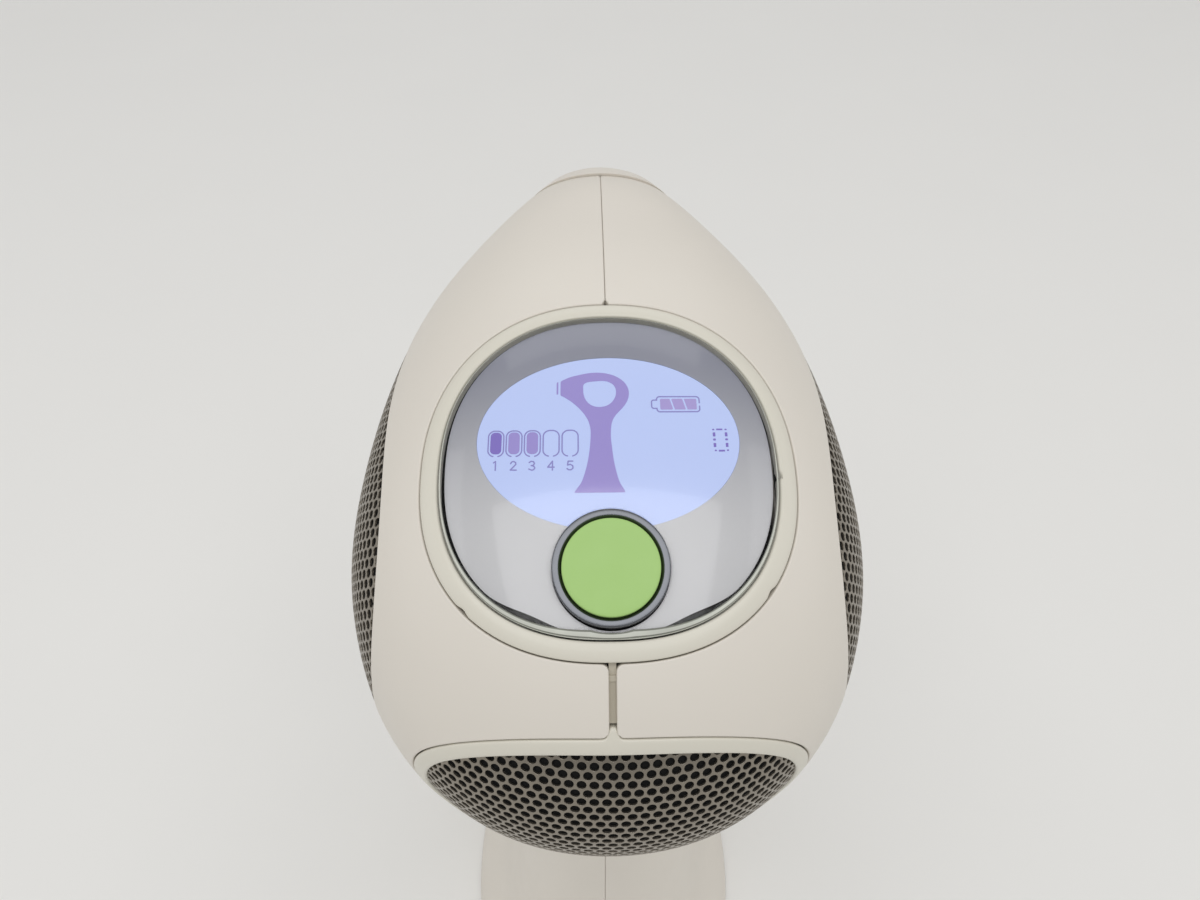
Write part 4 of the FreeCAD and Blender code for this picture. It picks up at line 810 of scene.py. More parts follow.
# ------------------------------------------------------------------ operators: one for each piece or group of like
# pieces
class HAIRREMOVER_OT_shells(bpy.types.Operator):
    """Makes the two cream half shells: the form's right half, cut at its openings and seams with rolled edges, and
    its mirror image
    """

    bl_idname = "hairremover.shells"
    bl_label = "Half shells"

    def execute(self, context):
        own = sizes()
        roll, gap = own.edge_roll / MM, own.panel_gap / MM
        # Rows crowd together round the slot and at the foot's edge, and columns at the two seams
        places = np.concatenate([
            np.arange(95, 138, 0.55), np.arange(138, 144.4, 0.2), np.arange(144.4, 180, 0.6),
            np.arange(180, FOOT_PLACE - 3, 1.15), np.linspace(FOOT_PLACE - 3, FOOT_PLACE, 8),
        ])
        share = np.linspace(0, 1, 116)
        turns = math.pi * (share - 0.72 * np.sin(2 * math.pi * share) / (2 * math.pi))
        rows, columns = len(places), len(turns)
        window = superellipse(WINDOW_HALF_X, WINDOW_HALF_Y, WINDOW_POWER, 200)

        def where(spots):
            return skin(
                np.interp(spots[:, 0], np.arange(rows), places), np.interp(spots[:, 1], np.arange(columns), turns)
            )

        def field(spots):
            points, normals = where(spots)
            place = np.interp(spots[:, 0], np.arange(rows), places)
            turn = np.interp(spots[:, 1], np.arange(columns), turns)
            x = np.sin(turn) * HALF_WIDTH(place) * (1 + 3 * FULLNESS) / (1 - FULLNESS)
            slot = np.where((place > SLOT_START) & (place < SLOT_END) & (turn < 1), x - SLOT_HALF, 50.0)
            ends = rounded_least([x - 0.02, points[:, 2] - 0.5, TIP_SEAM_Y + 0.06 - points[:, 1]], 0.3)
            openings = rounded_least([
                distance_on_skin(points, normals, DISPLAY, window, own.bezel_rim / MM + gap),
                distance_on_skin(points, normals, SIDE, SIDE_OUTLINE, gap),
                distance_on_skin(points, normals, REAR, REAR_OUTLINE, REAR_RIM + gap),
                slot,
            ], 0.8)
            return np.minimum(ends, openings) - roll

        row, column = np.meshgrid(np.arange(rows, dtype=float), np.arange(columns, dtype=float), indexing="ij")
        spots, triangles = cut_net(np.stack([row.ravel(), column.ravel()], 1), grid_triangles(rows, columns), field)
        points, normals = where(spots)
        outside = len(triangles)
        points, normals, faces = rolled_sheet(points, normals, triangles, roll, own.wall / MM)
        points[:, 2] = np.maximum(points[:, 2], 0.5)
        # The second block of faces is the inner wall, painted black as painted shade so that no light shows
        # through the openings
        inside = np.zeros(len(faces), int)
        inside[outside : 2 * outside] = 1
        finish = [finish_of("shell_plastic"), finish_of("inner_plastic")]
        add_pair("shell_{}", points, faces, normals, finish, face_finish=inside, instead="{}_shell")
        return {"FINISHED"}


def moved_out(outline, amount):
    """The outline moved outwards along its own normals, by one amount or by one for each point."""
    along = np.roll(outline, -1, 0) - np.roll(outline, 1, 0)
    out = np.stack([along[:, 1], -along[:, 0]], 1) / np.linalg.norm(along, axis=1, keepdims=True)
    return outline + out * np.reshape(amount, (-1, 1))


def radius_of(outline, centre, angles):
    """How far a closed outline is from a centre inside it, in each of the given directions."""
    away = outline - centre
    return np.interp(angles, np.arctan2(away[:, 1], away[:, 0]), np.linalg.norm(away, axis=1), period=2 * math.pi)


def hump(angles, middle, half_width):
    """One at an angle in degrees, and falling to nothing over a half-width, as a squared cosine of the way there.
    """
    away = (angles - math.radians(middle) + math.pi) % (2 * math.pi) - math.pi
    return np.cos(np.clip(away / math.radians(half_width), -1, 1) * math.pi / 2) ** 2


def plate_rails(plan, centre, angles, inner, outer, top, bottom, rows=14, edge=()):
    """Rails of a flat-drawn plate that follows the skin: out along its top at one depth, over its edge steps (how
    far in, how deep), and back along its underside.
    """
    ray = np.stack([np.cos(angles), np.sin(angles)], 1)
    first_in = edge[0][0] if edge else 0.0
    steps = [(inner + share * (outer - first_in - inner), top) for share in np.linspace(0, 1, rows)]
    steps += [(outer - inset, depth) for inset, depth in edge]
    steps += [(inner + share * (outer - inner), bottom) for share in np.linspace(1, 0, rows)]
    return [plan.laid(centre + radius[:, None] * ray, depth)[0] for radius, depth in steps]


BUTTON_PLACE = np.array([0, -30.990, 193.072])
BUTTON_AXIS = np.array([0, -0.43244, 0.90166])
BUTTON_FLAT = DISPLAY.flat(BUTTON_PLACE)
# The holes for the button's ring: through the window, and through the deck and the lit display
WINDOW_HOLE, DECK_HOLE = 7.3, 7.2
# Radius and height of the cap's side, its flange and its stem, down to the axis
CAP_UNDERSIDE = [(5.9, -1.5), (5.9, -3.05), (6.7, -3.05), (6.7, -4.3), (1.8, -4.3), (1.8, -5.6), (0.0, -5.6)]
LCD_CENTRE = np.array([0, LCD_SHIFT])
# How far the display's drawing leans back, so that it reads straight to someone who looks from behind and above
READING_SLANT = math.radians(27.4)


def read_straight(drawn):
    """Where points of a flat drawing over the display's middle come to lie on the domed window, in the plan's own
    directions, when each goes down to the skin along the reader's line of sight.
    """
    lift = (DISPLAY.laid(LCD_CENTRE[None])[0][0] - DISPLAY.centre) @ DISPLAY.axis
    return DISPLAY.flat(DISPLAY.laid(drawn, 0.0, lift, READING_SLANT)[0])


class HAIRREMOVER_OT_display_cover(bpy.types.Operator):
    """Makes the ring round the display, the clear window with its chamfered edge, and the silver deck under it"""

    bl_idname = "hairremover.display_cover"
    bl_label = "Display cover"

    def execute(self, context):
        rim, gap, depth = sizes().bezel_rim / MM, sizes().panel_gap / MM, sizes().window_depth / MM
        outline = superellipse(WINDOW_HALF_X, WINDOW_HALF_Y, WINDOW_POWER, 360)
        angles = np.arctan2(outline[:, 1], outline[:, 0])
        # Two short recesses where the ring's latches are released, and one small step inside
        notch = 0.23 * np.maximum(hump(angles, -134, 2.6), hump(angles, -40.5, 2.6))
        step = 0.30 * hump(angles, -3, 1.8)
        # Offset from the window's outline and depth: inner wall, rolled lip, shallow crown, rolled outer edge,
        # outer wall
        profile = [(gap, 1.4), (gap, 0.5)] + [
            (across, -up) for across, up in arc((gap + 0.3, -0.42), 0.3, 180, 105, 4)
        ]
        profile += [(0.8, 0.05), (1.25, 0.01), (1.75, 0.04)]
        profile += [
            (across, -up) for across, up in arc((rim - 0.22, -0.30), 0.22, 80, 0, 4)
        ] + [(rim, 0.6), (rim, 1.4)]
        rails = []
        for across, down in profile:
            moved = across + (step if across < 0.3 else 0) - (notch if across > rim - 0.4 else 0)
            rails.append(DISPLAY.laid(moved_out(outline, np.broadcast_to(moved, angles.shape)), down)[0])
        loop_piece("display_ring", rails, finish_of("trim"), instead=["display_bezel"])

        directions = np.linspace(-math.pi, math.pi, 360, endpoint=False)
        dense = superellipse(WINDOW_HALF_X, WINDOW_HALF_Y, WINDOW_POWER, 1200)
        outer = radius_of(dense, BUTTON_FLAT, directions) - 0.05
        hole = np.full_like(outer, WINDOW_HOLE)
        ray = np.stack([np.cos(directions), np.sin(directions)], 1)
        chamfer = np.minimum(0.80 - 0.35 * ray[:, 1], 0.9 * (outer - hole))
        edge = [
            (chamfer, 0.06), (chamfer * 0.80, 0.08), (chamfer * 0.30, 0.24), (chamfer * 0.12, 0.35), (0.0, 0.46)
        ]
        rows = 16
        rails = plate_rails(DISPLAY, BUTTON_FLAT, directions, hole, outer, 0.06, depth, rows, edge)
        # The chamfer's bands alternate painted shade (2) and painted reflection (1)
        marks = [0] * rows + [2, 1, 2, 1, 2] + [0] * rows
        finish = [finish_of(kind) for kind in ("window_plastic", "window_edge", "window_edge_shade")]
        loop_piece(
            "clear_window", rails, finish, band_finish=marks, slot="window_plastic", instead=["display_window"]
        )

        middle = np.array([0.0, -9.0])
        oval = read_straight(superellipse(LCD_HALF_X, LCD_HALF_Y, 2, 1200) + LCD_CENTRE)
        button = superellipse(DECK_HOLE, DECK_HOLE, 2, 1200) + BUTTON_FLAT
        inner = np.maximum(radius_of(oval, middle, directions), radius_of(button, middle, directions))
        crescents = 0.62 * np.maximum(hump(directions, -47, 22), hump(directions, -133, 22))
        outer = radius_of(dense, middle, directions) - 0.85 - crescents
        rails = plate_rails(DISPLAY, middle, directions, inner, outer, depth + 0.05, depth + 1.2, 12)
        loop_piece("silver_deck", rails, finish_of("deck_plastic"), slot="deck_plastic", instead=["display_deck"])
        return {"FINISHED"}


def line_distance(spots, line):
    """How far flat points are from a bent line."""
    line = np.asarray(line, float)
    start, step = line[:-1], np.diff(line, axis=0)
    away = spots[:, None] - start
    share = np.clip((away * step).sum(2) / (step**2).sum(1), 0, 1)
    return np.linalg.norm(away - share[..., None] * step, axis=2).min(1)


def box_distance(spots, middle, half, round_off=0.0):
    """Signed distance of flat points from a box with rounded corners: negative inside."""
    away = np.abs(spots - middle) - np.subtract(half, round_off)
    return np.linalg.norm(np.maximum(away, 0), axis=1) + np.minimum(away.max(1), 0) - round_off


# Strokes of the five numerals, in a box 0.8 wide and 1.24 high
NUMERALS = [
    [(-0.22, 0.42), (0.05, 0.62), (0.05, -0.62)],
    [(-0.36, 0.3), (-0.22, 0.54), (0.04, 0.62), (0.3, 0.46), (0.32, 0.2), (-0.38, -0.6), (0.4, -0.6)],
    [
        (-0.35, 0.45), (-0.12, 0.62), (0.2, 0.58), (0.33, 0.32), (0.2, 0.08), (-0.08, 0.02), (0.24, -0.06),
        (0.38, -0.3), (0.25, -0.54), (0, -0.63), (-0.38, -0.46),
    ],
    [(0.2, -0.62), (0.2, 0.62), (-0.4, -0.22), (0.42, -0.22)],
    [
        (0.34, 0.6), (-0.24, 0.6), (-0.32, 0.05), (0.02, 0.16), (0.34, -0.04), (0.36, -0.38), (0.12, -0.61),
        (-0.2, -0.6), (-0.38, -0.44),
    ],
]
LEVELS = [-14.48, -12.10, -9.72, -7.31, -4.89]
STROKE = 0.085


def remover_symbol(spots):
    """The hair remover in side view: its own silhouette and side opening, turned nose to the left and scaled into
    its box.
    """
    places = np.concatenate([np.linspace(FOOT_PLACE, 90, 90), np.linspace(90, FOOT_PLACE, 90)])
    turns = np.repeat([math.pi, 0.0], 90)
    side = form(places, turns)[:, 1:]
    across, up = 8.97 / (side[:, 0].max() - side[:, 0].min()), 17.41 / side[:, 1].max()

    def placed(points):
        return np.stack([2.80 - across * (points[:, 0] - side[:, 0].min()), -7.34 + up * points[:, 1]], 1)

    opening = 0.92 * SIDE_OUTLINE + (-2, 162)
    solid = -outline_distance(spots, placed(side))[0]
    hole = outline_distance(spots, placed(opening))[0]
    bar = -box_distance(spots, (-6.57, 7.72), (0.11, 0.95), 0.05)
    return np.maximum(np.minimum(solid, hole), bar)


def level_symbols(spots):
    """Five capsule outlines, open at the foot."""
    parts = []
    for x in LEVELS:
        line = STROKE - np.abs(box_distance(spots, (x, -0.4), (1.02, 1.84), 0.86))
        foot = np.where(spots[:, 1] < -1.4, np.abs(spots[:, 0] - x) - 0.26, 5.0)
        parts.append(np.minimum(line, foot))
    return np.max(parts, 0)


def filled_levels(first, last):
    """The filled capsules from one level to another."""
    return lambda spots: np.max(
        [-box_distance(spots, (x, -0.35), (0.74, 1.56), 0.6) for x in LEVELS[first:last]], 0
    )


def numerals(spots):
    """The numerals 1 to 5 under the capsules."""
    return np.max([STROKE - line_distance(spots - (x, -3.56), line) for x, line in zip(LEVELS, NUMERALS)], 0)


def battery_outline(spots):
    """A battery lying down, with its terminal to the left: an outline round a box and a smaller box."""
    body = np.minimum(
        box_distance(spots, (9.22, 5.15), (2.84, 1.14), 0.42), box_distance(spots, (6.2, 5.15), (0.5, 0.62), 0.3)
    )
    gap = np.where(spots[:, 0] > 11.5, np.abs(spots[:, 1] - 5.1) - 0.18, 5.0)
    return np.minimum(STROKE - np.abs(body), gap)


def battery_charge(spots):
    """Three charge bars: one box with two slanted gaps."""
    lean = spots[:, 0] + 0.26 * (spots[:, 1] - 5.15)
    return np.min(
        [
            -box_distance(spots, (9.25, 5.15), (2.42, 0.80), 0.12), np.abs(lean - 8.42) - 0.12,
            np.abs(lean - 10.1) - 0.12,
        ],
        0,
    )


def counter_digit(spots):
    """A dashed nought: short dashes round an upright rectangle."""
    dashes = [
        (14.45, 1.36, 0.42, 0.11), (14.55, -1.74, 0.42, 0.12), (13.62, 1.34, 0.14, 0.1), (15.3, 1.34, 0.14, 0.1),
        (13.74, -1.7, 0.14, 0.1), (15.36, -1.68, 0.14, 0.1),
    ]
    dashes += [
        (x, y, 0.17, half) for x in (13.68, 15.32) for y, half in ((0.62, 0.29), (-0.12, 0.14), (-0.92, 0.29))
    ]
    return np.max([-box_distance(spots, dash[:2], dash[2:], 0.05) for dash in dashes], 0)


class HAIRREMOVER_OT_screen(bpy.types.Operator):
    """Makes the lit oval display and the symbols that lie on it"""

    bl_idname = "hairremover.screen"
    bl_label = "Display and symbols"

    # name, what it draws, its box from the display's middle, how dark it is beside the other symbols
    SYMBOLS = [
        ("symbol_remover", remover_symbol, (-6.9, 3.1, -7.6, 10.3), "symbols"),
        ("symbol_levels", level_symbols, (-15.8, -3.6, -2.6, 1.8), "symbol_lines"),
        ("symbol_first_level", filled_levels(0, 1), (-15.4, -13.5, -2.2, 1.5), "dark_symbols"),
        ("symbol_reached_levels", filled_levels(1, 3), (-13.0, -8.8, -2.2, 1.5), "symbols"),
        ("symbol_numerals", numerals, (-15.2, -4.2, -4.5, -2.6), "symbol_lines"),
        ("symbol_battery", battery_outline, (5.4, 12.4, 3.7, 6.6), "symbol_lines"),
        ("symbol_charge", battery_charge, (6.5, 12.0, 4.1, 6.2), "pale_symbols"),
        ("symbol_counter", counter_digit, (13.2, 15.8, -2.1, 1.7), "dark_symbols"),
    ]

    def execute(self, context):
        depth = sizes().window_depth / MM + 0.1
        middle = np.array([0.0, 4.0])
        directions = np.linspace(-math.pi, math.pi, 480, endpoint=False)
        oval = read_straight(superellipse(LCD_HALF_X, LCD_HALF_Y, 2, 1200) + LCD_CENTRE)
        outer = radius_of(oval, middle, directions) - 0.04
        ray = np.stack([np.cos(directions), np.sin(directions)], 1)
        towards = ray @ (BUTTON_FLAT - middle)
        reach = towards**2 - ((BUTTON_FLAT - middle) ** 2).sum() + DECK_HOLE**2
        entry = np.where((reach > 0) & (towards > 0), towards - np.sqrt(np.maximum(reach, 0)), 1e3)
        outer = np.minimum(outer, entry)
        rails = plate_rails(DISPLAY, middle, directions, np.zeros_like(outer), outer, depth, depth + 0.6, 12)
        loop_piece(
            "lit_display", rails, finish_of("display_glass"), slot="display_glass", instead=["lcd_panel"], weld=True
        )
        for name, field, (left, right, low, high), finish in self.SYMBOLS:
            pitch = 0.055 if finish in ("symbol_lines", "dark_symbols") else 0.11
            columns, rows = int((right - left) / pitch) + 1, int((high - low) / pitch) + 1
            across, along = np.meshgrid(
                np.linspace(left, right, columns), np.linspace(low, high, rows), indexing="ij"
            )
            spots = np.stack([across.ravel(), along.ravel()], 1) / pitch
            spots, triangles = cut_net(
                spots, grid_triangles(columns, rows), lambda s, f=field: f(s * pitch) / pitch
            )
            points, normals = DISPLAY.laid(read_straight(spots * pitch + LCD_CENTRE), depth - 0.04)
            points, normals, faces = rolled_sheet(points, normals, triangles, 0, 0.03)
            add_piece(name, points, faces, finish_of(finish), slot="display_glass", normals=normals)
        return {"FINISHED"}


class HAIRREMOVER_OT_button(bpy.types.Operator):
    """Turns the plated ring and the green cap about the button's axis"""

    bl_idname = "hairremover.button"
    bl_label = "Button and ring"

    def execute(self, context):
        ring = [
            (7.1, -3.0), (7.1, 0.1), *arc((6.9, 0.33), 0.2, 0, 80, 4), (6.6, 0.55), (6.34, 0.55), (6.28, 0.52),
            (6.05, 0.24), (6.02, 0.1), (6.02, -3.0),
        ]
        loop_piece(
            "button_bezel", turned_rails(ring, BUTTON_PLACE, BUTTON_AXIS, 128), finish_of("bright_ring"),
            slot="bright_ring", instead=["button_ring"],
        )
        top = [(r, 0.9 - 0.12 * (r / 5.5) ** 2) for r in (0.0, 1.5, 3.0, 4.2, 5.0, 5.55)]
        cap = top + arc((5.7, 0.55), 0.2, 80, 0, 5) + CAP_UNDERSIDE
        loop_piece(
            "green_cap", turned_rails(cap, BUTTON_PLACE, BUTTON_AXIS, 112), finish_of("button_plastic"),
            body="button", slot="button_plastic", instead=["power_button"], weld=True,
        )
        return {"FINISHED"}


class HAIRREMOVER_OT_rear_frame(bpy.types.Operator):
    """Makes the smooth rim of the rear grille, which runs up into the slot with a small peak"""

    bl_idname = "hairremover.rear_frame"
    bl_label = "Rear grille frame"

    def execute(self, context):
        outline = superellipse(REAR_HALF_X, REAR_HALF_Z, REAR_POWER, 720)
        # Stations crowd together at the top, where the rim runs up into the slot
        turn = np.linspace(0, 2 * math.pi, 420, endpoint=False)
        turn = turn - 0.93 * np.sin(turn)
        reach = [f(turn) for f in (np.sin, np.cos)]
        ray = np.stack(reach, 1)
        inner = ray * radius_of(outline, (0, 0), np.arctan2(ray[:, 1], ray[:, 0]))[:, None]
        out = moved_out(inner[::-1], 1.0)[::-1] - inner
        x = inner[:, 0]
        # How far the rim runs up into the slot: as wide as the slot at its top, flaring below it
        peak = 1.1 * np.where(inner[:, 1] > 0, 1 / (1 + (np.abs(x) / 0.62) ** 5), 0)
        profile = [
            (0.0, 1.6), (0.0, 0.42), *[(a, -u) for a, u in arc((0.3, -0.36), 0.3, 180, 100, 4)], (0.6, 0.04),
            (1.0, 0.0), (1.3, 0.02),
        ]
        profile += [(a, -u) for a, u in arc((REAR_RIM - 0.25, -0.28), 0.25, 80, 0, 4)] + [
            (REAR_RIM, 0.6), (REAR_RIM, 1.6)
        ]
        rails = []
        for across, down in profile:
            share = np.clip((across - 0.9) / (REAR_RIM - 0.9), 0, 1)
            place = inner + out * across + np.stack([0 * x, peak * share], 1)
            rails.append(REAR.laid(place, down + 0.25 * share * np.minimum(peak, 1))[0])
        loop_piece("rear_rim", rails, finish_of("trim"), instead=["rear_grille_frame"])

        # The strip that shows in the slot: a low step near its top, and a groove where it ends above the rim
        place = np.array([138.45, 139.62, 139.66, 139.94, 139.98, 142.02, 142.05, 142.17, 142.20, 142.9])
        down = np.array([0.95, 0.95, 0.70, 0.70, 0.95, 0.95, 2.0, 2.0, 0.95, 0.95])
        half_width = HALF_WIDTH(place) * (1 + 3 * FULLNESS) / (1 - FULLNESS)
        edge = (SLOT_HALF + 0.01) / half_width
        rails = [
            skin(place, edge * side, depth)[0]
            for side, depth in (
                (-1, down), (-0.4, down), (0.4, down), (1, down), (1, down * 0 + 2.2), (-1, down * 0 + 2.2)
            )
        ]
        points = np.stack(rails)
        rows, columns = points.shape[:2]
        index = np.arange(rows * columns).reshape(rows, columns)
        below = np.roll(index, -1, 0)
        faces = np.stack([index[:, :-1], index[:, 1:], below[:, 1:], below[:, :-1]], -1).reshape(-1, 4)
        points = points.reshape(-1, 3)
        turned = outward(points, faces)
        ends = [index[:, 0][None, ::-1], index[:, -1][None]]
        if turned is not faces:
            ends = [end[:, ::-1] for end in ends]
        add_piece(
            "slot_strip", points, [turned, *ends], finish_of("seam_plastic"), slot="seam_plastic",
            instead=["rear_seam_strip"],
        )
        return {"FINISHED"}


class Unrolled:
    """Spreads flat drawings over a dome without stretching them along the rays from the drawing's middle: a place
    at some arc length along a ray lands where the skin's own length from the middle is the same.
    """

    def __init__(self, plan, reach):
        self.rays = np.linspace(-math.pi, math.pi, 97)
        flat = np.linspace(0, reach, 70)
        ray = np.stack([np.cos(self.rays), np.sin(self.rays)], 1)
        points = plan.laid(ray[:, None] * flat[None, :, None])[0]
        arc_length = np.concatenate(
            [np.zeros((97, 1)), np.cumsum(np.linalg.norm(np.diff(points, axis=1), axis=2), axis=1)], 1
        )
        self.lengths = np.linspace(0, arc_length[:, -1].max(), 120)
        self.table = np.stack(
            [np.interp(self.lengths, row, flat) + np.maximum(self.lengths - row[-1], 0) for row in arc_length]
        )

    def flat(self, spots):
        angle, length = np.arctan2(spots[:, 1], spots[:, 0]), np.linalg.norm(spots, axis=1)
        a = (angle - self.rays[0]) / (self.rays[1] - self.rays[0])
        b = length / (self.lengths[1] - self.lengths[0])
        i, j = np.clip(a.astype(int), 0, 95), np.clip(b.astype(int), 0, 118)
        u, v = a - i, b - j
        t = self.table
        radius = (1 - u) * ((1 - v) * t[i, j] + v * t[i, j + 1]) + u * ((1 - v) * t[i + 1, j] + v * t[i + 1, j + 1])
        return np.stack([np.cos(angle), np.sin(angle)], 1) * radius[:, None]


def perforated(plan, outline, reach, depth):
    """A perforated sheet: hexagonal cells of twelve points with a round hole in each, staggered by half a pitch
    from row to row, spread over the dome, cut off at the outline, with the holes' rims rolled.
    """
    own = sizes()
    pitch, roll = own.hole_pitch / MM, 0.07
    hole = own.hole_width / MM / 2 + roll
    spread = Unrolled(plan, reach)
    count = int(1.5 * reach / pitch) + 8
    i, j = np.meshgrid(np.arange(-2 * count, 2 * count + 1), np.arange(-count, count + 1), indexing="ij")
    middles = np.stack([(i + j / 2) * pitch, j * pitch * math.sqrt(3) / 2], -1).reshape(-1, 2) + (0.013, 0.017)
    middles = middles[np.linalg.norm(middles, axis=1) < spread.lengths[-1] - pitch]
    middles = middles[outline_distance(spread.flat(middles), outline)[0] < pitch]
    turn = np.arange(12) * math.pi / 6
    ray = np.stack([np.cos(turn), np.sin(turn)], 1)
    edge = np.where(np.arange(12) % 2 == 0, pitch / 2, pitch / math.sqrt(3))[:, None] * ray
    spots = np.concatenate(
        [(middles[:, None] + edge).reshape(-1, 2), (middles[:, None] + hole * ray).reshape(-1, 2)]
    )
    _, first, shared = np.unique(np.round(spots, 3), axis=0, return_index=True, return_inverse=True)
    cells = np.arange(len(middles))[:, None] * 12
    k, after = np.arange(12), (np.arange(12) + 1) % 12
    rim = len(middles) * 12
    triangles = np.concatenate([
        np.stack([rim + cells + k, cells + k, cells + after], -1).reshape(-1, 3),
        np.stack([rim + cells + k, cells + after, rim + cells + after], -1).reshape(-1, 3),
    ])
    triangles = shared.reshape(-1)[triangles]
    scale = 0.35
    spots, triangles = cut_net(
        spots[first] / scale, triangles,
        lambda s: -(outline_distance(spread.flat(s * scale), outline)[0] + 0.05) / scale, 0.3,
    )
    points, normals = plan.laid(spread.flat(spots * scale), depth)
    return rolled_sheet(points, normals, triangles, roll, own.sheet_depth / MM, 1)


def shade_sheet_rails(plan, outline):
    """The rails of the black sheet behind a grille, put there as painted shade: a thin sheet that follows the
    skin just under the perforated one.
    """
    angles = np.linspace(-math.pi, math.pi, 160, endpoint=False)
    outer = radius_of(outline, (0, 0), angles) - 0.3
    return plate_rails(plan, np.zeros(2), angles, np.zeros_like(outer), outer, top=1.0, bottom=1.25, rows=24)


class HAIRREMOVER_OT_grilles(bpy.types.Operator):
    """Makes the three perforated steel grilles, each with a black sheet behind it as painted shade"""

    bl_idname = "hairremover.grilles"
    bl_label = "Perforated grilles"

    def execute(self, context):
        finish = finish_of("grille_metal")
        points, normals, faces = perforated(REAR, REAR_OUTLINE, reach=26.2, depth=0.45)
        add_piece(
            "rear_perforated_sheet", points, faces, finish, slot="grille_metal", instead=["rear_grille"],
            normals=normals,
        )
        points, normals, faces = perforated(SIDE, SIDE_OUTLINE, reach=38.5, depth=0.08)
        add_pair(
            "{}_perforated_sheet", points, faces, normals, finish, slot="grille_metal", instead="{}_side_grille"
        )
        # Black sheets under the grilles, painted shade
        dark = finish_of("painted_shade_sheet")
        loop_piece("rear_shade_sheet", shade_sheet_rails(REAR, REAR_OUTLINE), dark, slot="inner_plastic", weld=True)
        side = shade_sheet_rails(SIDE, SIDE_OUTLINE)
        loop_piece("right_shade_sheet", side, dark, slot="inner_plastic", weld=True)
        loop_piece("left_shade_sheet", [rail * FLIP for rail in side], dark, slot="inner_plastic", weld=True)
        return {"FINISHED"}


class HAIRREMOVER_OT_inner_finishes(bpy.types.Operator):
    """Gives every piece that comes from the frame the finish of its slot"""

    bl_idname = "hairremover.inner_finishes"
    bl_label = "Finishes of the frame's pieces"

    def execute(self, context):
        for row in frame["record"]["subparts"]:
            piece = frame["nodes"][row["node"]]
            for place in piece.material_slots:
                place.material = finish_of(row["material_slot"])
        return {"FINISHED"}


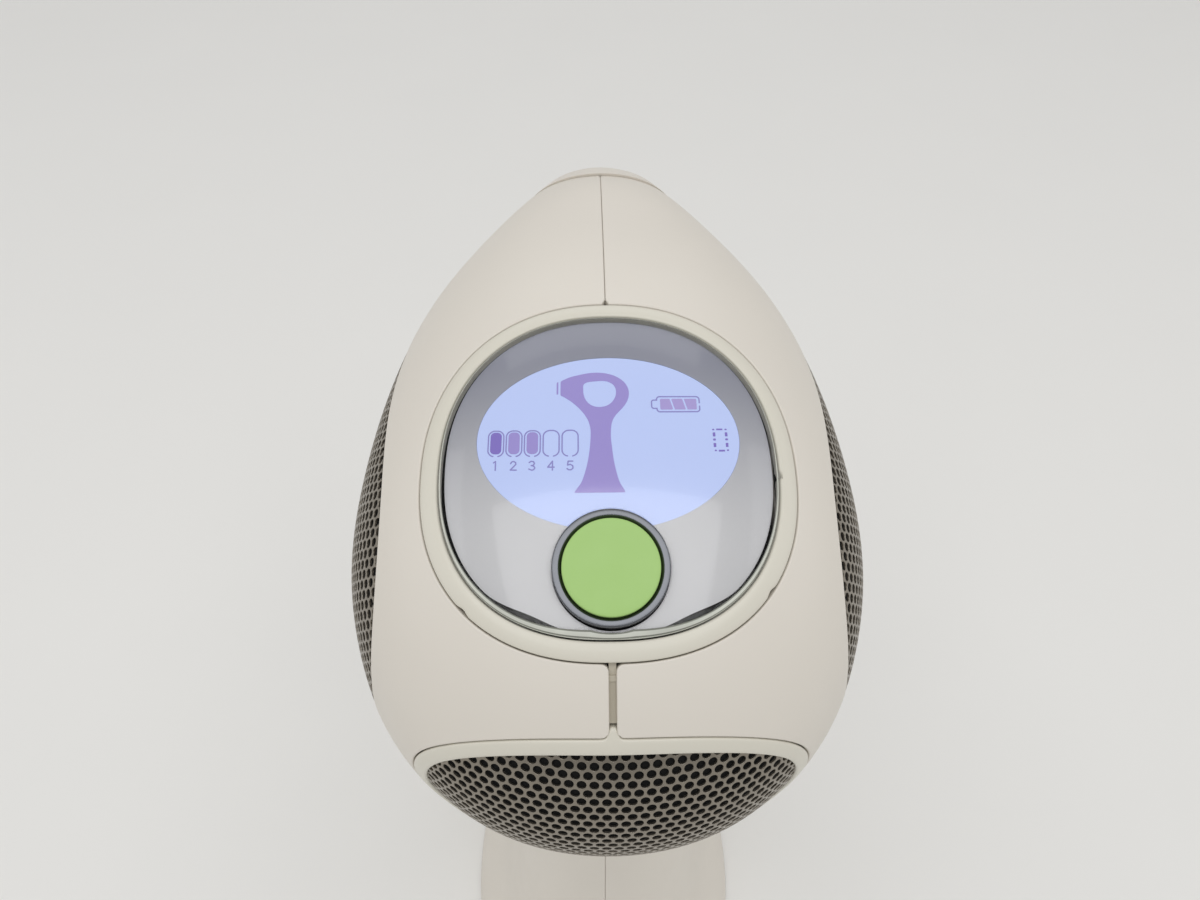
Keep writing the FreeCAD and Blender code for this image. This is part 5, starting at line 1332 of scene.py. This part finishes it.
class HAIRREMOVER_OT_stage(bpy.types.Operator):
    """Sets up the floor, the softboxes, the room's light and the camera"""

    bl_idname = "hairremover.stage"
    bl_label = "Floor, light and camera"

    def execute(self, context):
        finish, tree, shader, place = start_finish("Pale_Painted_Floor", linear("#ECEBE8"), 0.85)
        mottle(tree, shader, place, linear("#ECEBE8"), 60.0, 0.01)
        grain(tree, shader, place, 1.5, 0.02)
        steps = np.linspace(-2.5, 2.5, 21)
        x, y = np.meshgrid(steps, steps, indexing="ij")
        points = np.stack([x.ravel(), y.ravel(), np.zeros(x.size)], 1)
        mesh = bpy.data.meshes.new("floor")
        mesh.from_pydata(points.tolist(), [], grid_triangles(21, 21).tolist())
        mesh.materials.append(finish)
        floor = bpy.data.objects.new("floor", mesh)
        context.scene.collection.objects.link(floor)

        world = bpy.data.worlds.new("Soft_Studio")
        world.use_nodes = True
        tree = world.node_tree
        tree.nodes.clear()
        seen = add(tree, "ShaderNodeLightPath")
        direct = add(
            tree, "ShaderNodeMath", {0: seen.outputs["Is Camera Ray"], 1: seen.outputs["Is Transmission Ray"]},
            operation="MAXIMUM",
        )
        room = add(tree, "ShaderNodeBackground", {"Color": (1, 1, 1, 1), "Strength": 0.42})
        white = add(tree, "ShaderNodeBackground", {"Color": (1, 1, 1, 1), "Strength": 1.0})
        either = add(
            tree, "ShaderNodeMixShader", {"Fac": direct.outputs[0], 1: room.outputs[0], 2: white.outputs[0]}
        )
        add(tree, "ShaderNodeOutputWorld", {"Surface": either.outputs[0]})
        context.scene.world = world
        context.scene.view_settings.view_transform = "Standard"

        # name, where it is, what it looks at, its sides in metres, its power in watts
        softboxes = [
            ("key_softbox", (0.0, -0.42, 1.25), (0, -0.42, 0), (1.5, 1.0), 8.0),
            ("front_softbox", (0.0, 1.1, 0.9), (0, 0, 0.12), (1.2, 0.6), 2.0),
            ("left_softbox", (-1.2, 0.1, 0.7), (0, 0, 0.12), (0.9, 0.9), 2.0),
            ("right_softbox", (1.2, 0.1, 0.7), (0, 0, 0.12), (0.9, 0.9), 1.8),
        ]
        for name, where, target, sides, power in softboxes:
            lamp = bpy.data.lights.new(name, "AREA")
            lamp.shape, lamp.size, lamp.size_y, lamp.energy = "RECTANGLE", sides[0], sides[1], power
            holder = bpy.data.objects.new(name, lamp)
            holder.location = where
            holder.rotation_euler = (Vector(target) - Vector(where)).to_track_quat("-Z", "Y").to_euler()
            context.scene.collection.objects.link(holder)

        lens = bpy.data.cameras.new("camera")
        lens.lens, lens.sensor_width = 29.28, 36
        camera = bpy.data.objects.new("camera", lens)
        camera.location = (-0.0023, -0.09693, 0.28901)
        camera.rotation_euler = (math.radians(41.39), 0, math.radians(-0.85))
        lens.clip_start = 0.01
        context.scene.collection.objects.link(camera)
        context.scene.camera = camera
        return {"FINISHED"}


# ------------------------------------------------------------------ panel and registration
PIECES = [
    HAIRREMOVER_OT_stage,
    HAIRREMOVER_OT_shells,
    HAIRREMOVER_OT_display_cover,
    HAIRREMOVER_OT_screen,
    HAIRREMOVER_OT_button,
    HAIRREMOVER_OT_rear_frame,
    HAIRREMOVER_OT_grilles,
    HAIRREMOVER_OT_inner_finishes,
]


class HAIRREMOVER_PT_panel(bpy.types.Panel):
    """Lists the sizes, the colours and the pieces"""

    bl_label = "Hair Remover"
    bl_idname = "HAIRREMOVER_PT_panel"
    bl_space_type = "VIEW_3D"
    bl_region_type = "UI"
    bl_category = "Hair Remover"

    def draw(self, context):
        for group in (sizes(), colours()):
            box = self.layout.box()
            for name in group.__annotations__:
                box.prop(group, name)
        for piece in PIECES:
            self.layout.operator(piece.bl_idname)


CLASSES = [HairRemoverSizes, HairRemoverColours, *PIECES, HAIRREMOVER_PT_panel]


def register():
    for one in CLASSES:
        bpy.utils.register_class(one)
    bpy.types.Scene.hair_remover_sizes = PointerProperty(type=HairRemoverSizes)
    bpy.types.Scene.hair_remover_colours = PointerProperty(type=HairRemoverColours)


def unregister():
    del bpy.types.Scene.hair_remover_sizes
    del bpy.types.Scene.hair_remover_colours
    for one in reversed(CLASSES):
        bpy.utils.unregister_class(one)


def main():
    register()
    for piece in PIECES:
        group, name = piece.bl_idname.split(".")
        getattr(getattr(bpy.ops, group), name)()


if __name__ == "__main__":
    main()
